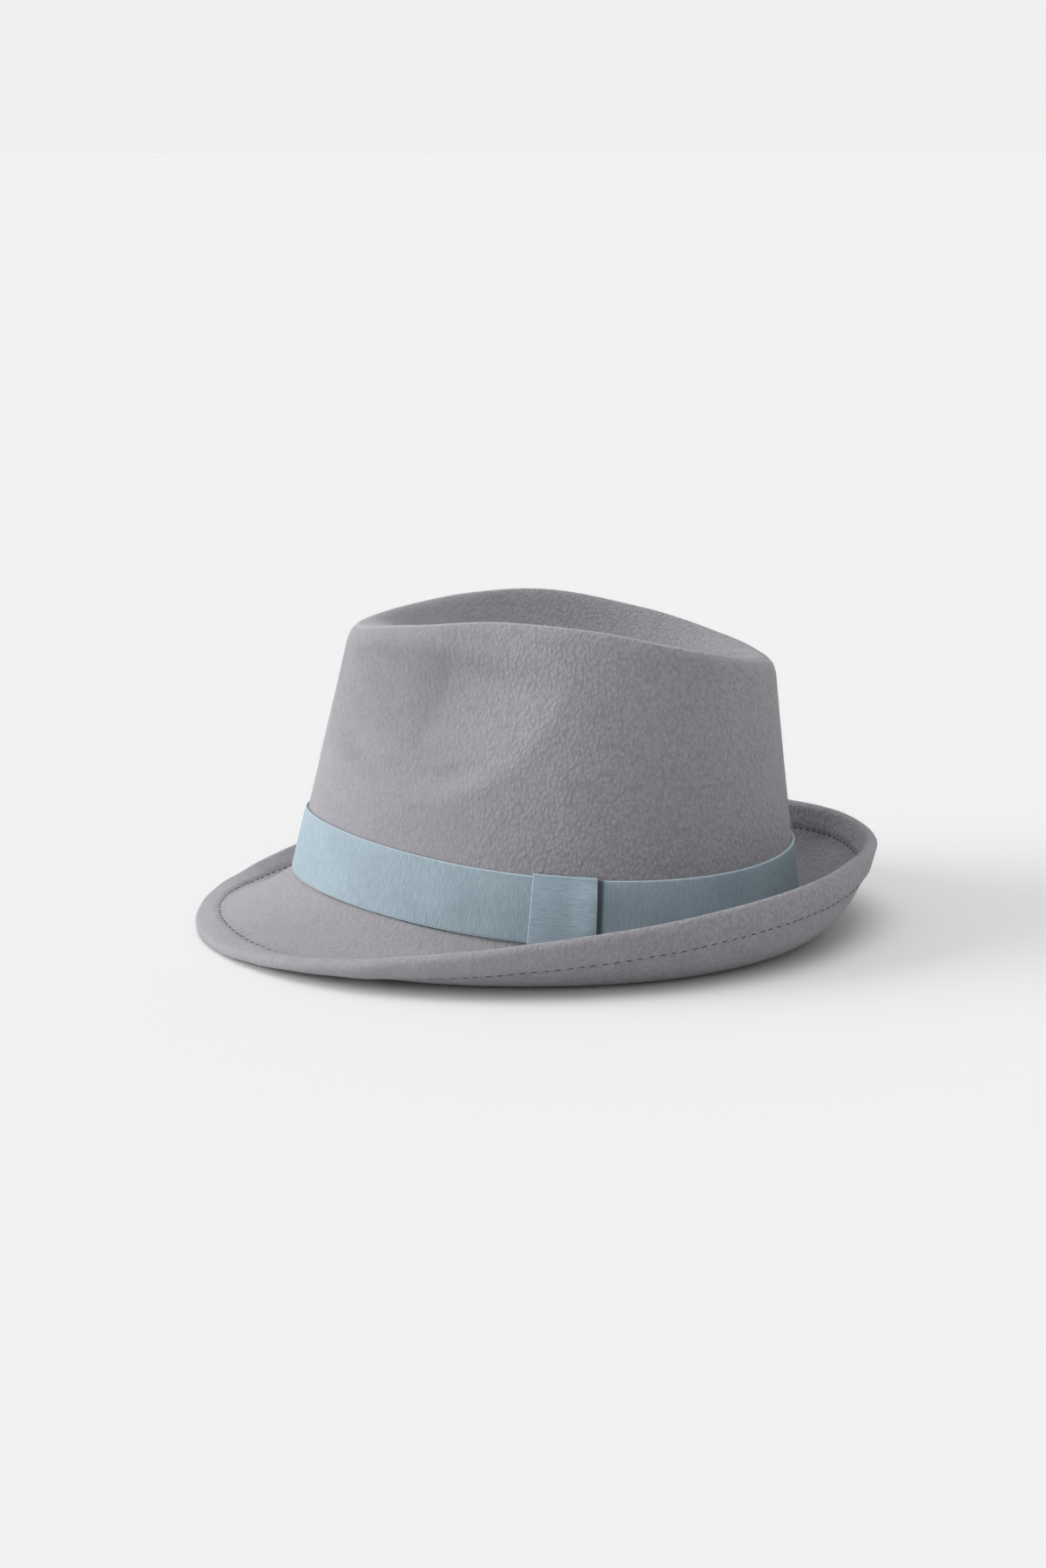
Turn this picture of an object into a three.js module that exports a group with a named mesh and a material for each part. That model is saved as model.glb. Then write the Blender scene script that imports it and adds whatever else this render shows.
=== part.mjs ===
// A trilby: a blocked felt shell that is crown and brim in one piece, a ribbon band round the
// foot of the crown, and a short upright piece of the same ribbon folded over the band's join.
// Millimetres, +Z up. The front is towards -Y, and the wearer's left is towards +X.
//
// A place on the hat is a turn round it, in degrees from the middle of the front, and a pair
// (out, up) in the upright plane through that turn: out from the crown's foot along its outward
// normal, and up from the foot.

import * as THREE from 'three';

// Crown
const crownLength = 200;
const crownWidth = 171;
const crownHeight = 118.5;
const frontNarrowing = 4.5;
const feltThickness = 2.2;
const shoulderReach = 9;

// Lengthwise crease in the top
const creaseDepth = 22;
const creaseLength = 132;
const creaseEndDrop = 1.5;

// Foot of the crown, where the wall turns out into the brim
const breakReach = 4;
const breakWave = 2.7;

// Brim, with its edge folded over and stitched down
const brimWidth = 43.5;
const hemWidth = 10.5;
const hemThickness = 4.4;

// Pinch dents, one on each side of the front. In degrees round the hat, dentTurn is the middle of
// a dent at its top, dentFrontSpan and dentRearSpan are its two halves, and dentSlant is how far
// its lower end lies further forward.
const dentDepth = 8.2;
const dentTurn = 49;
const dentFrontSpan = 45.5;
const dentRearSpan = 36;
const dentSlant = 12;
const dentTop = 101;
const dentDrop = 59.5;
const grooveDepth = 3.8;

// Shape of a dent. outlinePower is 2 for an outline of ellipses, and more for a squarer one.
// deepestShare is from its middle to its rear edge, or to its front edge where negative.
// frontPower and rearPower are 1 for a side that rises straight from the deepest line to its edge.
// The front is steepest at its edge below 1, and the rear above 1. upperEdgeShare and
// lowerEdgeShare are how much of the drop those edges take up. The groove is a ring at grooveShare
// of the way out, grooveSpread wide, which grows from grooveStart to grooveFull of the drop.
const outlinePower = 2.5;
const deepestShare = -0.03;
const frontPower = 0.75;
const rearPower = 1.5;
const upperEdgeShare = 0.26;
const lowerEdgeShare = 0.5;
const grooveShare = 0.85;
const grooveSpread = 0.07;
const grooveStart = 0.59;
const grooveFull = 0.98;

// A dent fades out over this share of the wall, below the ridge.
const dentFadeShare = 0.15;

// Ribbon
const ribbonWidth = 25;
const ribbonThickness = 0.6;
const ribbonClearance = 0.3;
const ribbonRise = 0.3;
const keeperTurn = 86;

// How the hat lies: its front is raised until the brim rests in front and behind, and the felt
// is pressed flat where it touches.
const restTilt = 4.3;
const restFlattening = 0.5;

// Mesh steps
const turnSteps = 88;
const topSteps = 6;
const shoulderSteps = 4;
const wallSteps = 11;
const breakSteps = 3;
const brimSteps = 5;
const hemSteps = 4;
const edgeSteps = 4;
const arcSteps = 12;
const keeperSteps = 8;
const keeperRows = 3;

const halfTurn = 180;
const fullTurn = 360;

// Keeps a division off zero where a dent's outline closes.
const smallestShare = 0.001;

// Rows from the middle of the front to the middle of the back, the same on both sides.
// rise: height of the ridge, as a share of crownHeight.
// inset: how far the ridge stands in from the foot, as a share of half the crownWidth.
const ridgeRows = [
  { rise: 0.85, inset: 0.193 },
  { rise: 0.906, inset: 0.32 },
  { rise: 0.98, inset: 0.426 },
  { rise: 0.997, inset: 0.345 },
  { rise: 0.937, inset: 0.26 },
  { rise: 0.86, inset: 0.235 },
  { rise: 0.815, inset: 0.202 },
];

// width: the brim from break to edge, as a share of brimWidth.
// leave and edge: the brim's slope in degrees where it leaves the break and at its edge.
const brimRows = [
  { width: 0.885, leave: -30, edge: -31 },
  { width: 0.915, leave: -49, edge: 6 },
  { width: 1.005, leave: -48, edge: 51 },
  { width: 0.995, leave: -35, edge: 89 },
  { width: 0.99, leave: -18, edge: 111 },
  { width: 0.935, leave: 7, edge: 103 },
  { width: 0.905, leave: 40, edge: 66 },
];

const clamp = THREE.MathUtils.clamp;
const degToRad = THREE.MathUtils.degToRad;
const lerp = THREE.MathUtils.lerp;
const smooth = THREE.MathUtils.smoothstep;

// The value of one column at any turn: a smooth curve through the rows, mirrored at both ends.
function aroundHat(rows, column, turn) {
  const last = rows.length - 1;
  const place = (Math.abs(turn) / halfTurn) * last;
  const start = Math.min(Math.floor(place), last - 1);
  const share = place - start;
  const mirrored = (index) => {
    const folded = Math.abs(index);
    return folded > last ? 2 * last - folded : folded;
  };
  const valueAt = (step) => rows[mirrored(start + step)][column];
  const [before, near, far, after] = [-1, 0, 1, 2].map(valueAt);
  const pull = (far - before) / 2;
  const push = (after - near) / 2;
  const square = share * share;
  const cube = square * share;
  return near * (2 * cube - 3 * square + 1) + pull * (cube - 2 * square + share)
    + far * (3 * square - 2 * cube) + push * (cube - square);
}

// Turn of one step round the hat, from -180 to 180 degrees.
function turnOf(step) {
  const turn = (step / turnSteps) * fullTurn;
  return turn > halfTurn ? turn - fullTurn : turn;
}

// The oval at the foot of the crown, slightly narrower in front.
function footPoint(turn) {
  const angle = degToRad(turn);
  const halfWidth = crownWidth / 2 - (frontNarrowing * Math.cos(angle));
  return new THREE.Vector2(halfWidth * Math.sin(angle), -(crownLength / 2) * Math.cos(angle));
}

function footNormal(turn) {
  const reach = 0.05;
  const along = footPoint(turn + reach).sub(footPoint(turn - reach)).normalize();
  return new THREE.Vector2(along.y, -along.x);
}

// From (out, up) at a turn to a point of the hat. The foot waves: it is higher at the front and
// the back than at the sides.
function placeOnHat(turn, out, up) {
  const foot = footPoint(turn).addScaledVector(footNormal(turn), out);
  const wave = breakWave * Math.cos(2 * degToRad(turn));
  return new THREE.Vector3(foot.x, foot.y, up + wave);
}

// The corner where the wall would meet the top if the shoulder weren't rounded.
function ridgeCorner(turn) {
  const inset = aroundHat(ridgeRows, 'inset', turn) * (crownWidth / 2);
  const rise = aroundHat(ridgeRows, 'rise', turn) * crownHeight;
  return { out: -inset, up: rise };
}

// How deep a pinch dent presses the wall in: down a long front side to its deepest line, up to a
// crisp rear edge, and down once more into a groove inside its lower edge.
function dentPress(turn, up) {
  const below = Math.max(dentTop - up, 0);
  const down = Math.min(below / dentDrop, 1);
  const past = Math.abs(turn) - dentTurn + dentSlant * down;
  const across = past / (past < 0 ? dentFrontSpan : dentRearSpan);
  const halfWidth = (1 - down ** outlinePower) ** (1 / outlinePower);
  const place = clamp(across / Math.max(halfWidth, smallestShare), -1, 1);
  const fromFront = clamp((place + 1) / (deepestShare + 1), 0, 1);
  const frontSide = fromFront ** frontPower;
  const rearSide = 1 - Math.max((place - deepestShare) / (1 - deepestShare), 0) ** rearPower;
  const hollow = place < deepestShare ? frontSide : rearSide;
  const upperEdge = smooth(down, 0, upperEdgeShare);
  const lowerEdge = smooth(1 - down, 0, lowerEdgeShare);
  const fullDown = below / dentDrop;
  const reach = (Math.abs(across) ** outlinePower + fullDown ** outlinePower) ** (1 / outlinePower);
  const ring = Math.exp(-(((reach - grooveShare) / grooveSpread) ** 2));
  const groove = ring * smooth(down, grooveStart, grooveFull);
  return dentDepth * hollow * upperEdge * lowerEdge + grooveDepth * groove;
}

// The wall leans in a straight line from the foot to the ridge, then a dent presses it in. The
// dent runs out before the ridge.
function wallPoint(turn, share) {
  const corner = ridgeCorner(turn);
  const up = corner.up * share;
  const fade = smooth(1 - share, 0, dentFadeShare);
  const press = dentPress(turn, up) * fade;
  return placeOnHat(turn, corner.out * share - press, up);
}

// The line of the lengthwise crease below each turn. Both sides meet on it.
function creasePoint(turn) {
  const along = -Math.cos(degToRad(turn));
  const front = ridgeCorner(0);
  const back = ridgeCorner(halfTurn);
  const edgeHeight = lerp(front.up, back.up, (along + 1) / 2) + breakWave;
  const depth = creaseDepth * (1 - along ** 2);
  return new THREE.Vector3(0, along * (creaseLength / 2), edgeHeight - creaseEndDrop - depth);
}

// The top falls from the ridge to the crease, steeply at first.
function topPoint(turn, share) {
  const corner = ridgeCorner(turn);
  const ridge = placeOnHat(turn, corner.out, corner.up);
  const crease = creasePoint(turn);
  const point = ridge.clone().lerp(crease, share);
  point.z = lerp(ridge.z, crease.z, Math.sin((share * Math.PI) / 2));
  return point;
}

// The share of the top that the shoulder takes up, at most half where the top is short.
function shoulderShareOfTop(turn) {
  const corner = ridgeCorner(turn);
  const ridge = placeOnHat(turn, corner.out, corner.up);
  const topLength = ridge.distanceTo(creasePoint(turn));
  return Math.min(shoulderReach, topLength / 2) / topLength;
}

// The top stops where the shoulder begins.
function topRowPoint(turn, rowShare) {
  return topPoint(turn, lerp(1, shoulderShareOfTop(turn), rowShare));
}

// The wall stops where the shoulder begins.
function wallRowPoint(turn, rowShare) {
  return wallPoint(turn, rowShare * (1 - shoulderReach / ridgeCorner(turn).up));
}

// A curve with one control point, for the rounded shoulder and the break.
function bend(start, control, end, share) {
  return new THREE.QuadraticBezierCurve3(start, control, end).getPoint(share);
}

function shoulderPoint(turn, share) {
  const corner = ridgeCorner(turn);
  const ridge = placeOnHat(turn, corner.out, corner.up);
  return bend(topRowPoint(turn, 1), ridge, wallRowPoint(turn, 1), share);
}

// The break turns the wall out into the brim.
function breakPoint(turn, share) {
  const leave = degToRad(aroundHat(brimRows, 'leave', turn));
  const corner = ridgeCorner(turn);
  const wallLean = -corner.out / corner.up;
  const reach = (breakReach * (1 - wallLean)) / (Math.cos(leave) + wallLean * Math.sin(leave));
  const start = placeOnHat(turn, 0, 0);
  const control = placeOnHat(
    turn, breakReach - reach * Math.cos(leave), -breakReach - reach * Math.sin(leave),
  );
  const end = placeOnHat(turn, breakReach, -breakReach);
  return bend(start, control, end, share);
}

// The brim's section is an arc: its slope changes evenly from the break to the edge.
function brimPoint(turn, share) {
  const leave = degToRad(aroundHat(brimRows, 'leave', turn));
  const edge = degToRad(aroundHat(brimRows, 'edge', turn));
  const width = aroundHat(brimRows, 'width', turn) * brimWidth - hemThickness / 2;
  const length = (width * share) / arcSteps;
  let out = breakReach;
  let up = -breakReach;
  for (let step = 0; step < arcSteps; step += 1) {
    const slope = lerp(leave, edge, (share * (step + 0.5)) / arcSteps);
    out += Math.cos(slope) * length;
    up += Math.sin(slope) * length;
  }
  return placeOnHat(turn, out, up);
}

// Rows of the felt's outer face, from the crease over the ridge and down to the brim's edge.
// pad is how much the folded hem adds on each face. The inner face follows the outer one row
// for row at the wall, where the dents are, and with every second row elsewhere.
function feltRows() {
  const rows = [];
  const addRow = (inside, pad, point) => rows.push({ inside, pad, point });
  const isEven = (step) => step % 2 === 0;
  for (let step = 1; step <= topSteps; step += 1) {
    addRow(isEven(step), 0, (turn) => topRowPoint(turn, step / topSteps));
  }
  for (let step = 1; step <= shoulderSteps; step += 1) {
    addRow(isEven(step), 0, (turn) => shoulderPoint(turn, step / shoulderSteps));
  }
  for (let step = wallSteps - 1; step >= 0; step -= 1) {
    addRow(true, 0, (turn) => wallRowPoint(turn, step / wallSteps));
  }
  for (let step = 1; step <= breakSteps; step += 1) {
    addRow(isEven(step), 0, (turn) => breakPoint(turn, step / breakSteps));
  }
  const hemStart = 1 - hemWidth / brimWidth;
  const hemPad = (hemThickness - feltThickness) / 2;
  for (let step = 1; step <= brimSteps; step += 1) {
    addRow(!isEven(step), 0, (turn) => brimPoint(turn, (hemStart * step) / brimSteps));
  }
  for (let step = 1; step <= hemSteps; step += 1) {
    const share = lerp(hemStart, 1, step / hemSteps);
    const pad = step === 1 ? hemPad / 2 : hemPad;
    addRow(isEven(step), pad, (turn) => brimPoint(turn, share));
  }
  return rows;
}

// A grid of points: one list for each row, one point for each turn.
function pointGrid(rows) {
  const turns = Array.from({ length: turnSteps }, (unused, step) => turnOf(step));
  return rows.map((row) => turns.map((turn) => row.point(turn)));
}

// Outward normals of a grid whose rows run from the crease to the edge.
function gridNormals(grid, creaseLine) {
  return grid.map((row, rowIndex) => row.map((unused, step) => {
    const before = rowIndex > 0 ? grid[rowIndex - 1][step] : creaseLine[step];
    const after = rowIndex < grid.length - 1 ? grid[rowIndex + 1][step] : row[step];
    const left = row[(step + turnSteps - 1) % turnSteps];
    const right = row[(step + 1) % turnSteps];
    const down = after.clone().sub(before);
    const along = right.clone().sub(left);
    return down.cross(along).normalize();
  }));
}

// A closed body from rings of points. Each end is closed by a line on which the two sides meet.
function zippedBody(rings, firstLine, lastLine) {
  const positions = [];
  const faces = [];
  const addPoint = (point) => {
    positions.push(point.x, point.y, point.z);
    return positions.length / 3 - 1;
  };
  const half = turnSteps / 2;
  const addLine = (line) => {
    const indices = line.slice(0, half + 1).map(addPoint);
    return line.map((unused, step) => indices[step <= half ? step : turnSteps - step]);
  };
  const indexRings = [
    addLine(firstLine),
    ...rings.map((ring) => ring.map(addPoint)),
    addLine(lastLine),
  ];
  const addFace = (a, b, c) => {
    if (a !== b && b !== c && c !== a) {
      faces.push(a, b, c);
    }
  };
  for (let ring = 0; ring + 1 < indexRings.length; ring += 1) {
    for (let step = 0; step < turnSteps; step += 1) {
      const next = (step + 1) % turnSteps;
      const [upper, lower] = [indexRings[ring], indexRings[ring + 1]];
      addFace(upper[step], lower[step], lower[next]);
      addFace(upper[step], lower[next], upper[next]);
    }
  }
  return geometryOf(positions, faces);
}

// A closed ring whose section is a loop of points, one section for each turn.
function ringBody(sections) {
  const positions = sections.flat().flatMap((point) => point.toArray());
  const faces = [];
  const corners = sections[0].length;
  for (let step = 0; step < sections.length; step += 1) {
    const next = (step + 1) % sections.length;
    for (let corner = 0; corner < corners; corner += 1) {
      const across = (corner + 1) % corners;
      faces.push(step * corners + corner, next * corners + corner, next * corners + across);
      faces.push(step * corners + corner, next * corners + across, step * corners + across);
    }
  }
  return geometryOf(positions, faces);
}

// A closed bar whose section is a strip, closed at both ends. Each section holds the outer and
// the inner point of every corner along the strip.
function stripBody(sections) {
  const positions = sections.flat(2).flatMap((point) => point.toArray());
  const faces = [];
  const corners = sections[0].length;
  const at = (section, corner, side) => (section * corners + corner) * 2 + side;
  const addQuad = (a, b, c, d) => faces.push(a, c, b, a, d, c);
  const last = sections.length - 1;
  for (let section = 0; section < last; section += 1) {
    for (let corner = 0; corner + 1 < corners; corner += 1) {
      addQuad(at(section, corner, 0), at(section + 1, corner, 0),
        at(section + 1, corner + 1, 0), at(section, corner + 1, 0));
      addQuad(at(section, corner, 1), at(section, corner + 1, 1),
        at(section + 1, corner + 1, 1), at(section + 1, corner, 1));
    }
    addQuad(at(section, 0, 1), at(section + 1, 0, 1), at(section + 1, 0, 0), at(section, 0, 0));
    addQuad(at(section, corners - 1, 0), at(section + 1, corners - 1, 0),
      at(section + 1, corners - 1, 1), at(section, corners - 1, 1));
  }
  for (let corner = 0; corner + 1 < corners; corner += 1) {
    addQuad(at(0, corner, 1), at(0, corner, 0), at(0, corner + 1, 0), at(0, corner + 1, 1));
    addQuad(at(last, corner, 0), at(last, corner, 1), at(last, corner + 1, 1), at(last, corner + 1, 0));
  }
  return geometryOf(positions, faces);
}

function geometryOf(positions, faces) {
  const geometry = new THREE.BufferGeometry();
  geometry.setAttribute('position', new THREE.Float32BufferAttribute(positions, 3));
  geometry.setIndex(faces);
  return geometry;
}

// The felt: its outer face, the rolled edge of the hem, and its inner face back to the crease.
function feltGeometry(settle) {
  const rows = feltRows();
  const outer = pointGrid(rows);
  const turns = Array.from({ length: turnSteps }, (unused, step) => turnOf(step));
  const creaseLine = turns.map((turn) => creasePoint(turn));
  const normals = gridNormals(outer, creaseLine);
  const outerFace = outer.map((row, index) => row.map(
    (point, step) => point.clone().addScaledVector(normals[index][step], rows[index].pad),
  ));
  const innerFace = outer.map((row, index) => row.map((point, step) => (
    point.clone().addScaledVector(normals[index][step], -(feltThickness + rows[index].pad))
  ))).filter((row, index) => rows[index].inside);
  const lastOuter = outerFace.at(-1);
  const lastInner = innerFace.at(-1);
  const edgeRings = [];
  for (let step = 1; step < edgeSteps; step += 1) {
    const swing = (Math.PI * step) / edgeSteps;
    edgeRings.push(lastOuter.map((point, index) => {
      const middle = point.clone().lerp(lastInner[index], 0.5);
      const radius = point.distanceTo(lastInner[index]) / 2;
      const normal = point.clone().sub(middle).normalize();
      const outward = outer.at(-1)[index].clone().sub(outer.at(-2)[index]).normalize();
      return middle.addScaledVector(normal, radius * Math.cos(swing))
        .addScaledVector(outward, radius * Math.sin(swing));
    }));
  }
  const innerCrease = creaseLine.map((point) => point.clone().setZ(point.z - feltThickness));
  const rings = [...outerFace, ...edgeRings, ...innerFace.reverse()];
  return zippedBody(
    rings.map((ring) => ring.map(settle)), creaseLine.map(settle), innerCrease.map(settle),
  );
}

// A point of the ribbon: clear of the wall by some distance, at a height along the wall.
function ribbonPoint(turn, clear, height) {
  const corner = ridgeCorner(turn);
  const lean = Math.atan2(-corner.out, corner.up);
  const out = -height * Math.sin(lean) + clear * Math.cos(lean);
  const up = height * Math.cos(lean) + clear * Math.sin(lean);
  return placeOnHat(turn, out, up);
}

function bandGeometry(settle) {
  const inner = ribbonClearance;
  const outer = inner + ribbonThickness;
  const low = ribbonRise;
  const high = ribbonRise + ribbonWidth;
  const sections = [];
  for (let step = 0; step < turnSteps; step += 1) {
    const corners = [[outer, low], [outer, high], [inner, high], [inner, low]];
    sections.push(corners.map(([clear, height]) => settle(ribbonPoint(turnOf(step), clear, height))));
  }
  return ringBody(sections);
}

// The keeper is as wide as the ribbon, so it spans this many degrees to each side of its middle.
function keeperHalfSpan() {
  const lengthOfDegree = footPoint(keeperTurn + 1).distanceTo(footPoint(keeperTurn - 1)) / 2;
  return ribbonWidth / 2 / lengthOfDegree;
}

// The keeper lies over the band's face, and its two ends turn in over the band's edges.
function keeperGeometry(settle) {
  const bandFace = ribbonClearance + ribbonThickness;
  const inside = bandFace + ribbonClearance;
  const outside = inside + ribbonThickness;
  const low = ribbonRise - ribbonClearance;
  const high = ribbonRise + ribbonWidth + ribbonClearance;
  const strip = [
    [[ribbonClearance, high + ribbonThickness], [ribbonClearance, high]],
    [[outside, high + ribbonThickness], [inside, high]],
  ];
  for (let row = 1; row < keeperRows; row += 1) {
    const height = lerp(high, low, row / keeperRows);
    strip.push([[outside, height], [inside, height]]);
  }
  strip.push([[outside, low - ribbonThickness], [inside, low]]);
  strip.push([[ribbonClearance, low - ribbonThickness], [ribbonClearance, low]]);
  const sections = [];
  for (let step = 0; step <= keeperSteps; step += 1) {
    const turn = keeperTurn + keeperHalfSpan() * lerp(-1, 1, step / keeperSteps);
    const place = ([clear, height]) => settle(ribbonPoint(turn, clear, height));
    sections.push(strip.map((pair) => pair.map(place)));
  }
  return stripBody(sections);
}

// The hat as it lies: tilted, lowered until its brim touches, and set over the origin.
function restingPlace() {
  const tilt = new THREE.Matrix4().makeRotationX(-degToRad(restTilt));
  const box = new THREE.Box3();
  const tilted = (point) => point.clone().applyMatrix4(tilt);
  feltGeometry((point) => {
    const moved = tilted(point);
    box.expandByPoint(moved);
    return moved;
  });
  const middle = box.getCenter(new THREE.Vector3());
  const shift = new THREE.Vector3(-middle.x, -middle.y, -box.min.z - restFlattening);
  return (point) => {
    const settled = tilted(point).add(shift);
    settled.z = Math.max(settled.z, 0);
    return settled;
  };
}

function addPiece(group, name, geometry, look) {
  const piece = new THREE.Mesh(geometry, new THREE.MeshStandardMaterial(look));
  piece.name = name;
  group.add(piece);
}

const hat = new THREE.Group();
const settle = restingPlace();
const feltLook = { color: 0x8f8d93, roughness: 0.95, metalness: 0 };
const bandLook = { color: 0x8fa4ae, roughness: 0.7, metalness: 0 };
const keeperLook = { color: 0x8b9ba4, roughness: 0.7, metalness: 0 };
addPiece(hat, 'felt_body', feltGeometry(settle), feltLook);
addPiece(hat, 'ribbon_band', bandGeometry(settle), bandLook);
addPiece(hat, 'ribbon_keeper', keeperGeometry(settle), keeperLook);

export default hat;
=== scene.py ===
"""The looks of a grey felt trilby with a pale blue ribbon band.

Metres, +Z up. The front of the hat is towards -Y and the wearer's left is towards +X.

A place on the hat is a turn round it, in degrees from the middle of the front, and a pair
(out, up) in the upright plane through that turn: out from the crown's foot along its outward
normal, and up from the foot.
"""

import logging
import math
from dataclasses import dataclass
from enum import Enum
from typing import Callable, Optional, Sequence

import bpy
import numpy as np
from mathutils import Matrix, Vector


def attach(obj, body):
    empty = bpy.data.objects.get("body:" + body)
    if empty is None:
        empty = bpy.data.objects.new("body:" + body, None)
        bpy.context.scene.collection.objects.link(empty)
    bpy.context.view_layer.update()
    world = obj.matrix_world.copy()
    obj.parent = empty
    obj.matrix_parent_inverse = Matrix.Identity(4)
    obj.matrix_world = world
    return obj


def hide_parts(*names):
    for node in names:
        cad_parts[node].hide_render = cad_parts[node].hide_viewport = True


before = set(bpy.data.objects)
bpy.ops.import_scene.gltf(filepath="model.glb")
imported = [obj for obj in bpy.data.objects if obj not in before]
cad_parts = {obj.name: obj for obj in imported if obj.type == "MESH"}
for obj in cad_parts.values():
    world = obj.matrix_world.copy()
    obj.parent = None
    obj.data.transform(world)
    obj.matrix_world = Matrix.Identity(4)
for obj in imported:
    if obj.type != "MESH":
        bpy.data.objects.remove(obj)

log = logging.getLogger("trilby")

BODY = "root"
MILLIMETRE = 0.001
HALF_TURN = 180.0
FULL_TURN = 360.0

NOISE_MIDDLE = (0.3, 0.7)
SHORTEST_LENGTH = 1e-12

Array = np.ndarray
Colour = tuple[float, float, float]
Section = Callable[[Array], Array]
Socket = bpy.types.NodeSocket
Material = bpy.types.Material
Piece = bpy.types.Object


class Face(Enum):
    """The two faces of the felt."""

    OUTER = 1.0
    INNER = -1.0


def smooth(value: Array, low: float, high: float) -> Array:
    """Rise smoothly from 0 at low to 1 at high, and stay level outside them."""
    share = np.clip((value - low) / (high - low), 0.0, 1.0)
    return share * share * (3.0 - 2.0 * share)


def bell(value: Array, middle: float, spread: float) -> Array:
    """Give a bell curve of height 1 that has fallen to about a third at its spread."""
    return np.exp(-(((value - middle) / spread) ** 2))


def unit(vectors: Array) -> Array:
    """Scale vectors, with x, y and z on the last axis, to length 1."""
    length = np.linalg.norm(vectors, axis=-1, keepdims=True)
    return vectors / np.maximum(length, SHORTEST_LENGTH)


def running_length(line: Array) -> Array:
    """Give the length of a line up to each of its points."""
    return np.concatenate([[0.0], np.cumsum(np.linalg.norm(np.diff(line, axis=0), axis=-1))])


def signed(turn: Array) -> Array:
    """Change turns from 0 to 360 degrees into turns from -180 to 180."""
    return np.where(turn > HALF_TURN, turn - FULL_TURN, turn)


def closed(grid: Array) -> Array:
    """Repeat the first column of a grid after its last one."""
    return np.concatenate([grid, grid[:, :1]], axis=1)


def crowded_ends(count: int) -> Array:
    """Give so many shares from 0 to 1 that lie closer together towards both ends."""
    return 0.5 - 0.5 * np.cos(np.linspace(0.0, math.pi, count))


def spokes(side: Array, up: Array, count: int) -> Array:
    """Give arrows of length 1 round a tube.

    Args:
        side: for each ring of the tube, the arrow that the count starts from.
        up: the arrow a quarter turn on.
        count: how many arrows each ring has.

    Returns:
        The arrows, one row for each ring.
    """
    angles = 2.0 * math.pi * np.arange(count) / count
    across, over = np.cos(angles)[None, :, None], np.sin(angles)[None, :, None]
    return side[:, None] * across + up[:, None] * over


def show(item: Piece) -> None:
    """Put an object into the scene."""
    bpy.context.scene.collection.objects.link(item)


def direction(turn: float, height: float) -> Vector:
    """Give an arrow of length 1.

    Args:
        turn: degrees round the hat, from the middle of the front.
        height: degrees over the floor.

    Returns:
        The arrow.
    """
    turn, height = math.radians(turn), math.radians(height)
    level = math.cos(height)
    return Vector((math.sin(turn) * level, -math.cos(turn) * level, math.sin(height)))


@dataclass(frozen=True)
class SoftWaves:
    """A sum of a few slow waves round the hat, for the small unevenness of handwork.

    Attributes:
        height: the largest height of all the waves together.
        counts: how many waves of each kind go once round.
        seed: the start of the random phases.
        lean: the most that a wave's phase shifts for each metre of height.
    """

    height: float
    counts: tuple[int, ...]
    seed: int
    lean: float = 60.0

    def at(self, turn: Array, up: Array | float = 0.0) -> Array:
        """Read the unevenness.

        Args:
            turn: degrees round the hat.
            up: height, which shifts the waves so that they lean.

        Returns:
            The height of the waves at each place.
        """
        rng = np.random.default_rng(self.seed)
        total = np.zeros(np.broadcast(turn, up).shape)
        for count in self.counts:
            phase, lean = rng.uniform(0.0, 2.0 * math.pi), rng.uniform(-self.lean, self.lean)
            total += np.sin(np.radians(turn) * count + phase + np.asarray(up) * lean)
        return self.height * total / len(self.counts)


@dataclass(frozen=True)
class RidgeRow:
    """The ridge at one turn, as shares of the crown's height and of half its width."""

    rise: float
    inset: float


@dataclass(frozen=True)
class BrimRow:
    """The brim at one turn: its width as a share, and its two slopes in degrees."""

    width: float
    leave: float
    edge: float


@dataclass(frozen=True)
class PinchDent:
    """One of the two dents pressed into the crown's front by finger and thumb."""

    depth: float = 9.4 * MILLIMETRE
    turn: float = 49.0
    front_span: float = 45.5
    rear_span: float = 36.0
    slant: float = 12.0
    top: float = 101.0 * MILLIMETRE
    drop: float = 59.5 * MILLIMETRE
    groove_depth: float = 4.9 * MILLIMETRE
    outline_power: float = 2.5
    deepest_share: float = -0.03
    front_power: float = 0.75
    rear_power: float = 1.5
    upper_edge_share: float = 0.26
    lower_edge_share: float = 0.5
    groove_share: float = 0.85
    groove_spread: float = 0.07
    groove_start: float = 0.59
    groove_full: float = 0.98
    fade_share: float = 0.15

    def press(self, turn: Array, up: Array) -> Array:
        """Say how far the dent presses the wall in.

        Args:
            turn: degrees round the hat.
            up: height over the crown's foot.

        Returns:
            The depth at each place.
        """
        below = np.maximum(self.top - up, 0.0) / self.drop
        down = np.minimum(below, 1.0)
        past = np.abs(turn) - self.turn + self.slant * down
        across = past / np.where(past < 0.0, self.front_span, self.rear_span)
        half_width = (1.0 - down**self.outline_power) ** (1.0 / self.outline_power)
        place = np.clip(across / np.maximum(half_width, 0.001), -1.0, 1.0)
        deepest = self.deepest_share
        from_front = np.clip((place + 1.0) / (deepest + 1.0), 0.0, 1.0)
        front_side = from_front**self.front_power
        rear_side = 1.0 - np.maximum((place - deepest) / (1.0 - deepest), 0.0) ** self.rear_power
        hollow = np.where(place < deepest, front_side, rear_side)
        upper_edge = smooth(down, 0.0, self.upper_edge_share)
        lower_edge = smooth(1.0 - down, 0.0, self.lower_edge_share)
        power = self.outline_power
        reach = (np.abs(across) ** power + below**power) ** (1.0 / power)
        ring = bell(reach, self.groove_share, self.groove_spread)
        groove = ring * smooth(down, self.groove_start, self.groove_full)
        return self.depth * hollow * upper_edge * lower_edge + self.groove_depth * groove


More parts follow.
